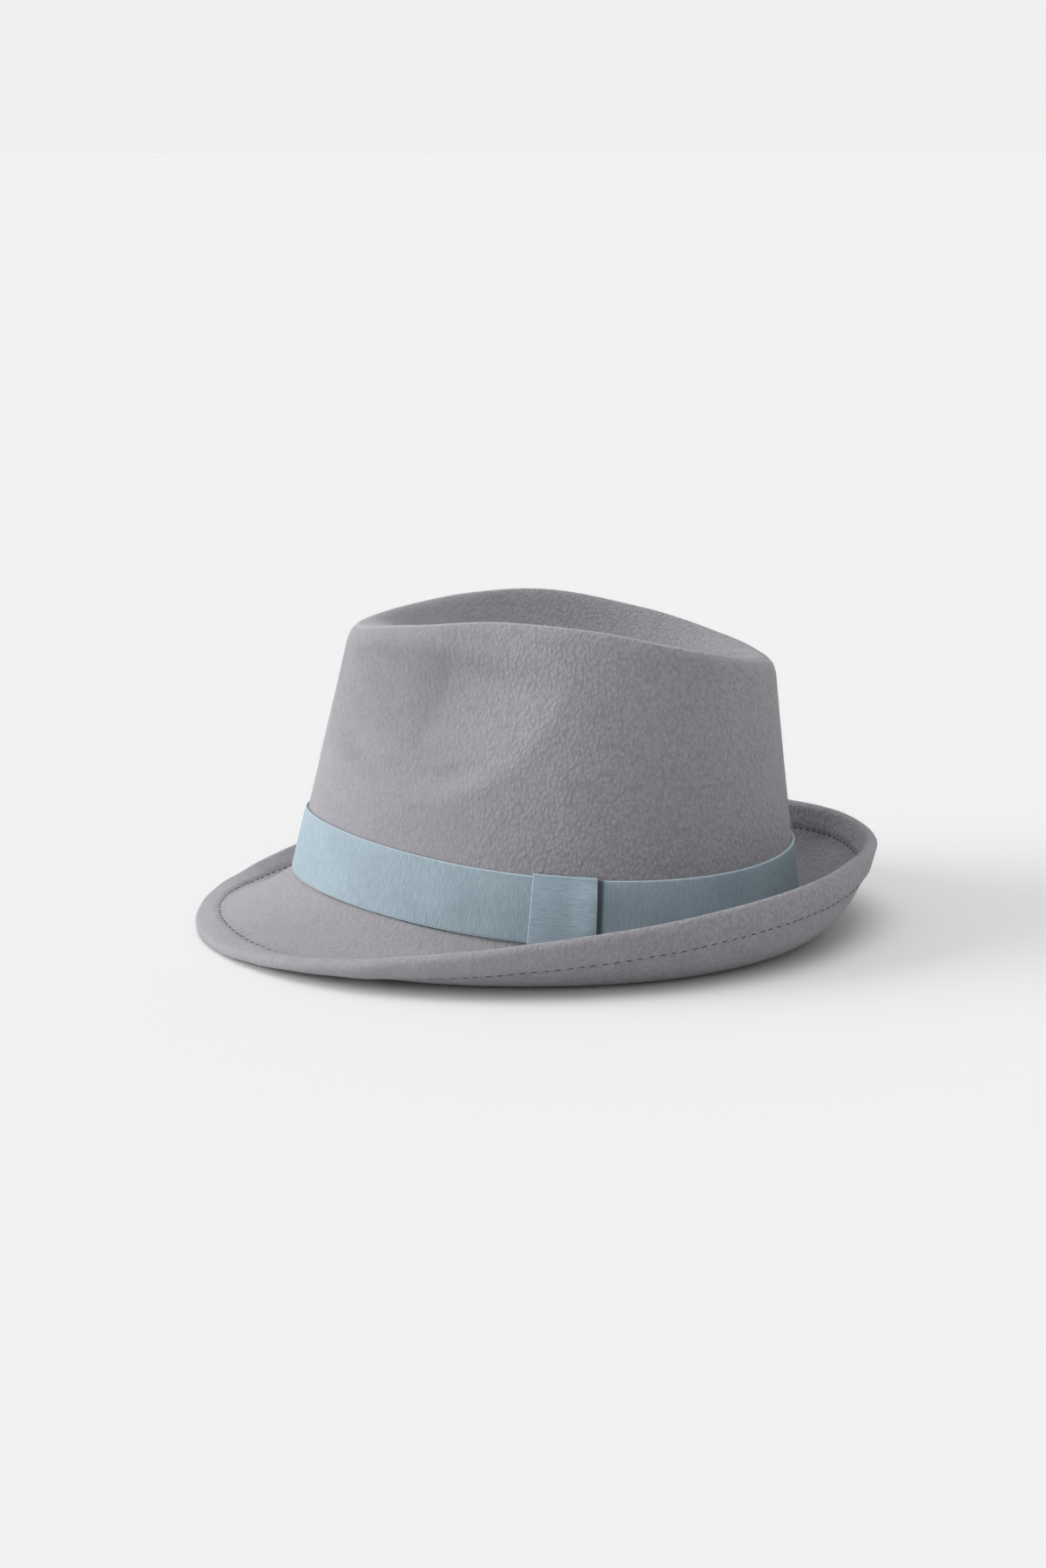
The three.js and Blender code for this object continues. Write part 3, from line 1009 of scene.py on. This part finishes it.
@dataclass
class FeltShell:
    """Crown and brim, one blocked shell of felt whose edge is folded over and stitched down."""

    form: HatForm
    finish: FeltFinish
    turn_steps: int = 540
    top_rows: int = 14
    shoulder_rows: int = 8
    ridge_highlight_row: int = 4
    wall_rows: int = 38
    break_rows: int = 6
    brim_rows: int = 10
    hem_rows: int = 22
    edge_rows: int = 8
    hem_swell: float = 0.45 * MILLIMETRE
    fold_spread: float = 2.9 * MILLIMETRE
    fold_margin: float = 1.3
    groove_depth: float = 0.38 * MILLIMETRE
    groove_spread: float = 0.8 * MILLIMETRE
    hem_waves: SoftWaves = SoftWaves(height=0.35 * MILLIMETRE, counts=(13, 21, 34), seed=9)
    hem_wave_start: float = 0.55
    stitch_length: float = 3.1 * MILLIMETRE
    stitch_seed: int = 12
    stitch_stray: float = 0.1
    stitch_slant: float = 0.12
    stitch_lengths: tuple[float, float] = (0.92, 1.06)
    stitch_rings: tuple[StitchRing, ...] = (
        StitchRing(along=-0.5, size=0.05, rise=-1.6),
        StitchRing(along=-0.46, size=0.7, rise=-0.9),
        StitchRing(along=-0.3, size=1.0, rise=0.0),
        StitchRing(along=0.0, size=1.05, rise=0.45),
        StitchRing(along=0.3, size=1.0, rise=0.0),
        StitchRing(along=0.46, size=0.7, rise=-0.9),
        StitchRing(along=0.5, size=0.05, rise=-1.6),
    )
    thread_radius: float = 0.28 * MILLIMETRE
    thread_sides: int = 6
    fibre_seed: int = 31
    fibre_count: int = 9000
    fibre_length: float = 1.5 * MILLIMETRE
    fibre_radius: float = 0.022 * MILLIMETRE
    fibre_taper: tuple[float, ...] = (1.0, 0.85, 0.35)
    fibre_curl: float = 0.6
    fibre_lifts: tuple[float, float] = (0.12, 0.5)
    fibre_lengths: tuple[float, float] = (0.5, 1.3)
    fibre_droops: tuple[float, float] = (-0.6, 0.5)
    fibre_reaches: tuple[float, float] = (0.5, 0.35)
    fibre_tip_share: float = 0.6
    fibre_sides: int = 3
    fibre_root: float = 0.1 * MILLIMETRE
    fibre_floor_gap: float = 0.05 * MILLIMETRE
    place: Optional[RestingPlace] = None
    surface: Optional[Array] = None

    def turns(self) -> Array:
        """Give the turn of each step round the hat, the first one again at the end."""
        return np.linspace(0.0, FULL_TURN, self.turn_steps + 1)

    def signed_turns(self) -> Array:
        """Give the turns from -180 to 180, without the repeated one."""
        return signed(self.turns()[:-1])

    def rows(self) -> list[tuple[Section, float]]:
        """List the rows of the outer face, from the crease over the ridge to the brim's edge.

        Returns:
            For each row, what gives its points, and its distance from the brim's edge as a share
            of the brim's length, or 1 above the break and up to 2 along the ridge, which marks a
            painted highlight there.
        """
        form = self.form
        rows: list[tuple[Section, float]] = []

        def add(maker: Callable[[Array, float], Array], share: float, away: float) -> None:
            """Add one row at a share of a part of the hat."""
            rows.append((lambda turn: maker(turn, share), away))

        for step in range(1, self.top_rows + 1):
            add(form.top_row, step / self.top_rows, 1.0)
        for step in range(1, self.shoulder_rows + 1):
            # Rows near the ridge get map heights up to 2, which place the felt's painted highlight.
            ridge_highlight = max(1.0 - abs(step - self.ridge_highlight_row) / 2.0, 0.0)
            add(form.shoulder_row, step / self.shoulder_rows, 1.0 + ridge_highlight)
        for step in range(self.wall_rows - 1, -1, -1):
            add(form.wall_row, step / self.wall_rows, 1.0)
        for step in range(1, self.break_rows + 1):
            add(form.break_row, step / self.break_rows, 1.0)
        fold = 1.0 - (form.hem_width + self.fold_margin * self.fold_spread) / form.brim_width
        for step in range(1, self.brim_rows + 1):
            share = fold * step / self.brim_rows
            add(form.brim_row, share, 1.0 - share)
        for step in range(1, self.hem_rows + 1):
            share = fold + (1.0 - fold) * step / self.hem_rows
            add(form.brim_row, share, 1.0 - share)
        return rows

    def edge_distance(self, turn: Array, away: Array | float) -> Array:
        """Turn a share of the brim's length into the distance from its outermost edge."""
        return away * self.form.brim_length(turn) + self.form.hem_thickness / 2.0

    def hem_pad(self, turn: Array, away: Array | float, plain: bool = False) -> Array:
        """Say how much the folded hem adds on each face.

        Args:
            turn: degrees round the hat.
            away: distance from the brim's edge, as a share of the brim's length.
            plain: whether its swelling and its stitch groove are left out.

        Returns:
            The added thickness for each turn.
        """
        form = self.form
        distance = self.edge_distance(turn, away)
        full = (form.hem_thickness - form.felt_thickness) / 2.0
        fold = smooth(form.hem_width + self.fold_spread - distance, 0.0, 2.0 * self.fold_spread)
        if plain:
            return full * fold
        inside = np.clip(distance / form.hem_width, 0.0, 1.0)
        swell = self.hem_swell * np.sin(inside * math.pi)
        groove = self.groove_depth * bell(distance, form.hem_width, self.groove_spread)
        return (full + swell) * fold - groove

    def rings(self, turn: Array, plain: bool = False) -> tuple[Array, Array]:
        """Give the rings of the shell, from the outer crease round the edge to the inner crease.

        Args:
            turn: degrees round the hat.
            plain: whether the hem's swelling, groove and unevenness are left out.

        Returns:
            The points, and every point's distance from the brim's edge.
        """
        form = self.form
        rows = self.rows()
        middle = np.stack([maker(turn) for maker, _ in rows])
        away = np.array([share for _, share in rows])[:, None]
        crease = form.crease(turn)
        normals = self.grid_normals(middle, crease)
        if not plain:
            wave = self.hem_waves.at(turn) * smooth(1.0 - away, self.hem_wave_start, 1.0)
            middle = middle + normals * wave[..., None]
        pads = self.hem_pad(turn, away, plain)[..., None]
        outer_face = middle + normals * pads
        inner_face = middle - normals * (form.felt_thickness + pads)
        crown_end = self.top_rows + self.shoulder_rows + self.wall_rows + self.break_rows
        kept = [row for row in range(len(rows)) if row >= crown_end or row % 2 == 1]
        inner_face = inner_face[kept[::-1]]
        edge = self.edge_rings(middle, outer_face[-1], inner_face[0])
        inner_crease = crease - np.array([0.0, 0.0, form.felt_thickness])
        distance = self.edge_distance(turn, away)
        round_edge = np.repeat(distance[-1:] / 2.0, len(edge), axis=0)
        distances = [distance[:1], distance, round_edge, distance[kept[::-1]], distance[:1]]
        points = [crease[None], outer_face, edge, inner_face, inner_crease[None]]
        return np.concatenate(points), np.concatenate(distances)

    def build(self, material: Material) -> Piece:
        """Build the shell.

        Args:
            material: the felt's material.

        Returns:
            The piece.
        """
        turn = self.signed_turns()
        self.place = RestingPlace.of(self.form, self.rings(turn, plain=True)[0])
        points, distances = self.rings(turn)
        self.surface = self.place.settle(points)
        piece = self.make_mesh(self.surface, distances, material)
        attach(piece, BODY)
        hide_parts("felt_body")
        return piece

    def make_mesh(self, settled: Array, lengths: Array, material: Material) -> Piece:
        """Join the rings to one closed shell. Its two sides meet on the crease.

        Args:
            settled: the rings' points as the hat lies.
            lengths: their distances from the brim's edge.
            material: the felt's material.

        Returns:
            The piece.
        """
        maker = MeshMaker()
        indices = maker.add_points(settled)
        steps = np.arange(self.turn_steps)
        mirrored = np.where(steps <= self.turn_steps // 2, steps, self.turn_steps - steps)
        indices[0] = indices[0][mirrored]
        indices[-1] = indices[-1][mirrored]
        rim = settled[1 + self.row_count()]
        along = running_length(np.concatenate([rim, rim[:1]]))
        pitches = round(along[-1] / self.finish.stitch_pitch)
        along = along / along[-1] * pitches * self.finish.stitch_pitch
        across = closed(lengths)
        uv = np.stack([np.broadcast_to(along, across.shape), across], -1)
        maker.add_quads(closed(indices), uv)
        return maker.make("felt_shell", material)

    def row_count(self) -> int:
        """Count the rows of the outer face."""
        return len(self.rows())

    def edge_rings(self, middle: Array, upper: Array, lower: Array) -> Array:
        """Make the rounded edge of the hem.

        Args:
            middle: the rings of the face that the pads are added to.
            upper: the last ring of the outer face.
            lower: the last ring of the inner face.

        Returns:
            The rings between the two.
        """
        centre = (upper + lower) / 2.0
        radius = np.linalg.norm(upper - lower, axis=-1, keepdims=True) / 2.0
        normal = unit(upper - centre)
        outward = unit(middle[-1] - middle[-2])
        swing = math.pi * np.arange(1, self.edge_rows)[:, None, None] / self.edge_rows
        return centre + radius * (normal * np.cos(swing) + outward * np.sin(swing))

    @staticmethod
    def grid_normals(grid: Array, crease: Array) -> Array:
        """Give the outward normals of rings that run from the crease to the edge.

        Args:
            grid: the rings.
            crease: the line that they start from.

        Returns:
            One normal for each point.
        """
        before = np.concatenate([crease[None], grid[:-1]])
        after = np.concatenate([grid[1:], grid[-1:]])
        along = np.roll(grid, -1, axis=1) - np.roll(grid, 1, axis=1)
        return unit(np.cross(after - before, along))

    def stitches(self, material: Material) -> Piece:
        """Sew the hem: one row of stitches on each face of the brim.

        Args:
            material: the thread's material.

        Returns:
            The piece.
        """
        maker = MeshMaker()
        for face in Face:
            self.sew(maker, *self.stitch_line(signed(self.turns()), face))
        piece = maker.make("hem_stitches", material)
        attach(piece, BODY)
        log.info("stitch line %.1f mm in from the edge", self.form.hem_width / MILLIMETRE)
        return piece

    def stitch_line(self, turn: Array, face: Face) -> tuple[Array, Array]:
        """Find the bottom of the groove that the stitches lie in.

        Args:
            turn: degrees round the hat.
            face: the face of the felt.

        Returns:
            The line's points as the hat lies, and the felt's normals there.
        """
        form = self.form
        shares = 1.0 - (form.hem_width - form.hem_thickness / 2.0) / form.brim_length(turn)
        gap = 0.01
        before, middle, after = (form.brim_row(turn, shares + step) for step in (-gap, 0.0, gap))
        along = np.gradient(middle, axis=0)
        along[0] = along[-1] = along[0] + along[-1]
        normal = unit(np.cross(after - before, along))
        wave = self.hem_waves.at(turn) * smooth(shares, self.hem_wave_start, 1.0)
        pad = self.hem_pad(turn, 1.0 - shares)
        thickness = pad if face is Face.OUTER else pad + form.felt_thickness
        line = middle + normal * (wave + face.value * thickness)[:, None]
        return self.place.settle(line), unit(self.place.turned(normal)) * face.value

    def sew(self, maker: MeshMaker, line: Array, normal: Array) -> None:
        """Lay stitches along a closed line.

        Args:
            maker: what collects the mesh.
            line: the points of the line.
            normal: the felt's normals on it.
        """
        pitch, stitch = self.finish.stitch_pitch, self.stitch_length
        lengths = running_length(line)
        count = round(lengths[-1] / pitch)
        stray, slant = self.stitch_stray, self.stitch_slant
        rng = np.random.default_rng(self.stitch_seed)
        table = np.array([(ring.along, ring.size, ring.rise) for ring in self.stitch_rings])
        stations, sizes, rises = table.T
        angles = 2.0 * math.pi * np.arange(self.thread_sides + 1) / self.thread_sides

        def read(values: Array, at: Array) -> Array:
            """Read points or normals of the line at running lengths."""
            return np.stack([np.interp(at, lengths, values[:, axis]) for axis in range(3)], -1)

        for index in range(count):
            middle = lengths[-1] * (index + 0.5) / count + rng.uniform(-stray, stray) * pitch
            at = middle + stations * stitch * rng.uniform(*self.stitch_lengths)
            at = np.clip(at, 0.0, lengths[-1])
            points, up = read(line, at), unit(read(normal, at))
            side = unit(np.cross(up, unit(points[-1] - points[0])))
            shift = rng.uniform(-slant, slant) * stitch * stations[:, None]
            centre = points + up * (rises[:, None] * self.thread_radius) + side * shift
            radius = (self.thread_radius * sizes)[:, None, None]
            ring = spokes(side, up, self.thread_sides)
            tube = maker.add_points(centre[:, None] + radius * ring)
            maker.add_quads(closed(tube), np.stack(np.meshgrid(angles, at), -1))

    def fibres(self, material: Material) -> Piece:
        """Add the loose fibres that stand off the nap.

        Args:
            material: the felt's material.

        Returns:
            The piece.
        """
        rng = np.random.default_rng(self.fibre_seed)
        face = self.surface[1 : 2 + self.row_count() + self.edge_rows]
        steps = face.shape[1]
        down = face[1:] - face[:-1]
        along = np.roll(face, -1, axis=1)[:-1] - face[:-1]
        areas = np.linalg.norm(np.cross(down, along), axis=-1)
        chosen = rng.choice(areas.size, self.fibre_count, p=(areas / areas.sum()).ravel())
        row, step = np.divmod(chosen, steps)
        shares = rng.uniform(0.0, 1.0, (self.fibre_count, 2, 1))
        down, along = down[row, step], along[row, step]
        root = face[row, step] + down * shares[:, 0] + along * shares[:, 1]
        normal = unit(np.cross(down, along))
        each = (self.fibre_count, 1)
        spin = rng.uniform(0.0, 2.0 * math.pi, each)
        flat = unit(along) * np.cos(spin) + np.cross(normal, unit(along)) * np.sin(spin)
        curl = np.cross(normal, flat) * rng.uniform(-self.fibre_curl, self.fibre_curl, each)
        lift = rng.uniform(*self.fibre_lifts, each)
        length = self.fibre_length * rng.uniform(*self.fibre_lengths, each)
        first_reach, second_reach = self.fibre_reaches
        middle = root + (flat * first_reach + normal * lift) * length
        droop = normal * lift * rng.uniform(*self.fibre_droops, each)
        tip = middle + (flat * second_reach + curl + droop) * length * self.fibre_tip_share
        spine = np.stack([root - normal * self.fibre_root, middle, tip], axis=1)
        spine[..., 2] = np.maximum(spine[..., 2], self.fibre_floor_gap)
        sizes = self.fibre_radius * np.array(self.fibre_taper)
        ring = spokes(unit(np.cross(flat, normal)), normal, self.fibre_sides)
        tubes = spine[:, :, None] + ring[:, None] * sizes[None, :, None, None]
        maker = MeshMaker()
        indices = maker.add_points(tubes)
        indices = np.concatenate([indices, indices[:, :, :1]], axis=2)
        for first in range(len(sizes) - 1):
            for corner in range(self.fibre_sides):
                quad = [indices[:, first, corner], indices[:, first + 1, corner],
                        indices[:, first + 1, corner + 1], indices[:, first, corner + 1]]
                maker.quads.append(np.stack(quad, -1))
                maker.maps.append(np.zeros((self.fibre_count, 4, 2)))
        piece = maker.make("felt_fibres", material)
        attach(piece, BODY)
        return piece


@dataclass
class RibbonBand:
    """The ribbon round the foot of the crown, with upright ribs."""

    form: HatForm
    place: RestingPlace
    finish: RibbonFinish
    width: float = 25.0 * MILLIMETRE
    thickness: float = 0.6 * MILLIMETRE
    clearance: float = 0.3 * MILLIMETRE
    rise: float = 0.3 * MILLIMETRE
    rib_height: float = 0.11 * MILLIMETRE
    steps_per_rib: int = 5
    face_rows: int = 9
    slack: SoftWaves = SoftWaves(height=0.18 * MILLIMETRE, counts=(4, 7, 10, 17), seed=3)
    wrinkle_turn: float = 64.0
    wrinkle_span: float = 7.0
    wrinkle_height: float = 8.6 * MILLIMETRE
    wrinkle_spread: float = 0.9 * MILLIMETRE
    wrinkle_depth: float = 0.95 * MILLIMETRE
    wrinkle_fall: float = 0.12 * MILLIMETRE
    wrinkle_gap: float = 1.9 * MILLIMETRE
    slack_share: float = 0.6
    measuring_steps: int = 720

    def length_to(self, turn: float) -> float:
        """Measure the ribbon at its middle height, from the middle of the front.

        Args:
            turn: degrees round the hat to which it is measured.

        Returns:
            Its length.
        """
        turns = np.linspace(0.0, turn, self.measuring_steps + 1)
        line = self.form.ribbon(turns, self.clearance, self.width / 2.0)
        return float(np.linalg.norm(np.diff(line, axis=0), axis=-1).sum())

    def ribs(self, rib: Array, edge: Array) -> Array:
        """Give the ribs' height, from the place across a rib and the distance to the edge."""
        height = self.rib_height * np.abs(np.sin(rib * math.pi))
        return height * smooth(edge, 0.0, self.finish.edge_width)

    def looseness(self, turn: Array, height: Array | float) -> Array:
        """Say how far the ribbon stands off because it isn't drawn quite tight."""
        return (self.slack.at(turn, height) + self.slack.height) * self.slack_share

    def face(self, turn: Array, height: Array, rib: Array) -> Array:
        """Say how far the ribbon's face stands off the wall.

        Args:
            turn: degrees round the hat.
            height: distance over the ribbon's lower edge.
            rib: place across a rib, from 0 to 1.

        Returns:
            The distance.
        """
        ribs = self.ribs(rib, np.minimum(height, self.width - height))
        past = np.abs(turn) - self.wrinkle_turn
        near = bell(past, 0.0, self.wrinkle_span) * (turn > 0.0)
        fold_height = self.wrinkle_height - past * self.wrinkle_fall
        fold = bell(height, fold_height, self.wrinkle_spread)
        fold_under = bell(height, fold_height - self.wrinkle_gap, self.wrinkle_spread)
        wrinkle = self.wrinkle_depth * near * (fold_under - fold)
        return self.clearance + self.thickness + ribs + wrinkle + self.looseness(turn, height)

    def build(self, material: Material) -> Piece:
        """Build the band.

        Args:
            material: the ribbon's material.

        Returns:
            The piece.
        """
        length = self.length_to(FULL_TURN)
        count = round(length / self.finish.rib_pitch) * self.steps_per_rib
        step = np.arange(count)
        turn = signed(step / count * FULL_TURN)
        rib = (step % self.steps_per_rib) / self.steps_per_rib
        heights = crowded_ends(self.face_rows) * self.width
        back_heights = np.array([self.width, self.width / 2.0, 0.0])
        rings = []
        for height in heights:
            clear = self.face(turn, np.full_like(turn, height), rib)
            rings.append(self.form.ribbon(turn, clear, self.rise + height))
        for height in back_heights:
            clear = np.full_like(turn, self.clearance)
            rings.append(self.form.ribbon(turn, clear, self.rise + height))
        maker = MeshMaker()
        indices = maker.add_points(self.place.settle(np.stack(rings)))
        indices = np.concatenate([indices, indices[:1]])
        along = np.arange(count + 1) / count * length
        across = np.concatenate([heights, back_heights, [0.0]])
        maker.add_quads(closed(indices), np.stack(np.meshgrid(along, across), -1))
        piece = maker.make("band_ribbon", material)
        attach(piece, BODY)
        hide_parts("ribbon_band")
        return piece


@dataclass
class RibbonKeeper:
    """The short upright ribbon over the band's join. Its ribs lie level."""

    band: RibbonBand
    finish: RibbonFinish
    turn: float = 86.0
    side_steps: int = 26
    steps_per_rib: int = 5
    fold_steps: int = 6
    bend_share: float = 1.2
    free_edge_lift: float = 1.9 * MILLIMETRE
    lift_start: float = 0.55
    lift_at_ends: float = 0.35
    bulge: float = 0.25 * MILLIMETRE
    bulge_start: float = 0.3

    def half_span(self) -> float:
        """Give the degrees from the keeper's middle to each side edge."""
        before, after = self.band.form.foot(self.turn + np.array([-1.0, 1.0]))
        return float(self.band.width / np.linalg.norm(after - before))

    def free_edge_along(self) -> float:
        """Measure along the band from the middle of the front to the keeper's free edge."""
        return self.band.length_to(self.turn + self.half_span())

    def outline(self) -> Array:
        """Trace the ribbon's outer face in section, from its tucked top end to its bottom end.

        Returns:
            Rows of (clear, height), and the running length as a third column.
        """
        band = self.band
        inside = 2.0 * band.clearance + band.thickness
        low = band.rise - band.clearance - band.thickness
        high = band.rise + band.width + band.clearance + band.thickness
        outside = inside + band.thickness
        bend = band.thickness * self.bend_share
        swing = np.linspace(0.0, math.pi / 2.0, self.fold_steps)
        rising, falling = bend * np.sin(swing), bend * np.cos(swing)
        top = np.stack([outside - bend + rising, high - bend + falling], -1)
        bottom = np.stack([outside - bend + falling, low + bend - rising], -1)
        count = round((high - low - 2.0 * bend) / self.finish.rib_pitch) * self.steps_per_rib
        heights = np.linspace(high - bend, low + bend, count + 1)[1:-1]
        front = np.stack([np.full_like(heights, outside), heights], -1)
        start, end = np.array([[band.clearance, high]]), np.array([[band.clearance, low]])
        path = np.concatenate([start, top, front, bottom, end])
        return np.concatenate([path, running_length(path)[:, None]], axis=1)

    def build(self, material: Material) -> Piece:
        """Build the keeper.

        Args:
            material: the ribbon's material.

        Returns:
            The piece.
        """
        band = self.band
        outline = self.outline()
        clear, height, along = outline.T[:, :, None]
        way = unit(np.gradient(np.concatenate([clear, height], 1), axis=0))
        side = crowded_ends(self.side_steps + 1)[None]
        across = side * band.width
        ribs = band.ribs(along / self.finish.rib_pitch % 1.0, np.minimum(across, band.width - across))
        margin = band.width * self.bulge_start
        middle = smooth(height, 0.0, margin) * smooth(band.width - height, 0.0, margin)
        fold = smooth(clear, band.clearance, clear.max())
        lift = self.free_edge_lift * smooth(side, self.lift_start, 1.0) * fold
        lift = lift * (self.lift_at_ends + (1.0 - self.lift_at_ends) * middle)
        lift = lift + self.bulge * middle * np.sin(side * math.pi)
        turn = self.turn + self.half_span() * (2.0 * side - 1.0)
        maker = MeshMaker()
        faces = []
        for push in (ribs, -band.thickness):
            out = clear - way[:, 1:] * push + lift + band.looseness(turn, 0.0) * fold
            up = height + way[:, :1] * push
            face = band.form.ribbon(turn, np.maximum(out, band.clearance), up)
            faces.append(maker.add_points(band.place.settle(face)))
        outer, inner = faces
        uv = np.stack(np.broadcast_arrays(along, across), -1)
        maker.add_quads(outer, uv)
        maker.add_quads(inner[:, ::-1], uv[:, ::-1])
        for near, far, near_uv, axis in (
            (outer[:, -1:], inner[:, -1:], uv[:, -1:], 1),
            (inner[:, :1], outer[:, :1], uv[:, :1], 1),
            (inner[:1], outer[:1], uv[:1], 0),
            (outer[-1:], inner[-1:], uv[-1:], 0),
        ):
            maker.add_quads(np.concatenate([near, far], axis), np.concatenate([near_uv] * 2, axis))
        piece = maker.make("keeper_ribbon", material)
        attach(piece, BODY)
        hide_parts("ribbon_keeper")
        return piece


@dataclass(frozen=True)
class Studio:
    """A pale floor, a low soft light before the hat, a weak one over it, and the camera."""

    floor_size: float = 60.0
    floor_colour: Colour = (0.80, 0.80, 0.80)
    floor_roughness: float = 0.9
    sky_colour: Colour = (1.0, 1.0, 1.0)
    sky_light: float = 0.587
    sky_slope: float = 0.15
    sky_turn: float = -60.0
    backdrop_light: float = 0.87
    softness: float = 46.0
    key_light: float = 3.2
    key_turn: float = -5.0
    key_height: float = 12.0
    lamp_distance: float = 2.0
    top_light: float = 0.93
    camera_azimuth: float = 82.0
    camera_height: float = 11.9
    camera_distance: float = 1.25
    camera_lens: float = 72.3
    camera_sensor: float = 36.0
    camera_target: tuple[float, float, float] = (-0.01048, -0.00423, 0.05180)
    camera_range: tuple[float, float] = (0.05, 100.0)

    def build(self) -> None:
        """Build floor, lights and camera."""
        self.build_floor()
        self.build_light()
        self.build_camera()
        bpy.context.scene.view_settings.view_transform = "Standard"

    def build_floor(self) -> None:
        """Lay a plain pale floor."""
        half = self.floor_size / 2.0
        corners = [(-half, -half, 0.0), (half, -half, 0.0), (half, half, 0.0), (-half, half, 0.0)]
        mesh = bpy.data.meshes.new("floor")
        mesh.from_pydata(corners, [], [(0, 1, 2, 3)])
        floor = bpy.data.objects.new("floor", mesh)
        board = NodeBoard(bpy.data.materials.new("pale_floor"))
        floor.data.materials.append(board.finish(
            Base_Color=(*self.floor_colour, 1.0), Roughness=self.floor_roughness,
            Specular_IOR_Level=0.0,
        ))
        show(floor)

    def build_lamp(self, name: str, strength: float, turn: float, height: float) -> None:
        """Hang one wide soft lamp.

        Args:
            name: the lamp's name.
            strength: its strength.
            turn: degrees round the hat, from the middle of the front.
            height: degrees over the floor.
        """
        lamp = bpy.data.lights.new(name, "SUN")
        lamp.energy = strength
        lamp.angle = math.radians(self.softness)
        holder = bpy.data.objects.new(name, lamp)
        towards = direction(turn, height)
        holder.rotation_mode = "QUATERNION"
        holder.rotation_quaternion = towards.to_track_quat("Z", "Y")
        holder.location = towards * self.lamp_distance
        show(holder)

    def build_light(self) -> None:
        """Set the lamps and the sky. The camera sees a pale backdrop instead of the sky."""
        self.build_lamp("key", self.key_light, self.key_turn, self.key_height)
        self.build_lamp("top", self.top_light, 0.0, 90.0)
        world = bpy.data.worlds.new("studio")
        board = NodeBoard(world)
        view = board.add("ShaderNodeTexCoord").outputs["Generated"]
        brightest = direction(self.sky_turn, 0.0)
        slope = board.add("ShaderNodeVectorMath", {0: view, 1: brightest}, operation="DOT_PRODUCT")
        brightness = board.math(
            "MULTIPLY_ADD", slope.outputs["Value"], self.sky_light * self.sky_slope, self.sky_light
        )
        sky, backdrop = (
            board.add("ShaderNodeBackground", {"Color": (*self.sky_colour, 1.0), "Strength": strength})
            for strength in (brightness, self.backdrop_light)
        )
        seen = board.add("ShaderNodeLightPath").outputs["Is Camera Ray"]
        shades = {0: seen, 1: sky.outputs[0], 2: backdrop.outputs[0]}
        mix = board.add("ShaderNodeMixShader", shades)
        board.add("ShaderNodeOutputWorld", {"Surface": mix.outputs[0]})
        bpy.context.scene.world = world

    def build_camera(self) -> None:
        """Set the camera at the photograph's angle, above the floor."""
        back = direction(self.camera_azimuth, self.camera_height)
        data = bpy.data.cameras.new("camera")
        data.lens = self.camera_lens
        data.sensor_width = self.camera_sensor
        data.clip_start, data.clip_end = self.camera_range
        camera = bpy.data.objects.new("camera", data)
        camera.location = Vector(self.camera_target) + back * self.camera_distance
        camera.rotation_mode = "QUATERNION"
        camera.rotation_quaternion = (-back).to_track_quat("-Z", "Y")
        show(camera)
        bpy.context.scene.camera = camera


def report(piece: Piece) -> None:
    """Log a piece's size.

    Args:
        piece: the piece.
    """
    mesh = piece.data
    triangles = sum(len(face.vertices) - 2 for face in mesh.polygons)
    size = ", ".join(f"{side / MILLIMETRE:.0f}" for side in piece.dimensions)
    log.info("%s: %d triangles, %s mm", piece.name, triangles, size)


def main() -> None:
    """Build the studio and the hat."""
    logging.basicConfig(level=logging.INFO, format="%(name)s: %(message)s")
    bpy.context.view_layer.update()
    Studio().build()
    form = HatForm()
    felt_finish = FeltFinish()
    felt = felt_finish.material(form.hem_width, form.brim_width)
    thread = ThreadFinish().material()
    shell = FeltShell(form, felt_finish)
    report(shell.build(felt))
    report(shell.stitches(thread))
    report(shell.fibres(felt))
    band_finish = RibbonFinish("blue_ribbon")
    band = RibbonBand(form, shell.place, band_finish)
    # Painted light: the keeper is the band's ribbon, given lighter colours to stand in for the light
    # it catches.
    keeper_finish = RibbonFinish(
        "blue_ribbon_keeper", shade=(0.232, 0.305, 0.357), light=(0.416, 0.523, 0.598)
    )
    keeper = RibbonKeeper(band, keeper_finish)
    # The band gets a painted shadow beside the keeper's free edge.
    report(band.build(band_finish.material(band.width, keeper.free_edge_along())))
    report(keeper.build(keeper_finish.material(band.width)))


if __name__ == "__main__":
    main()
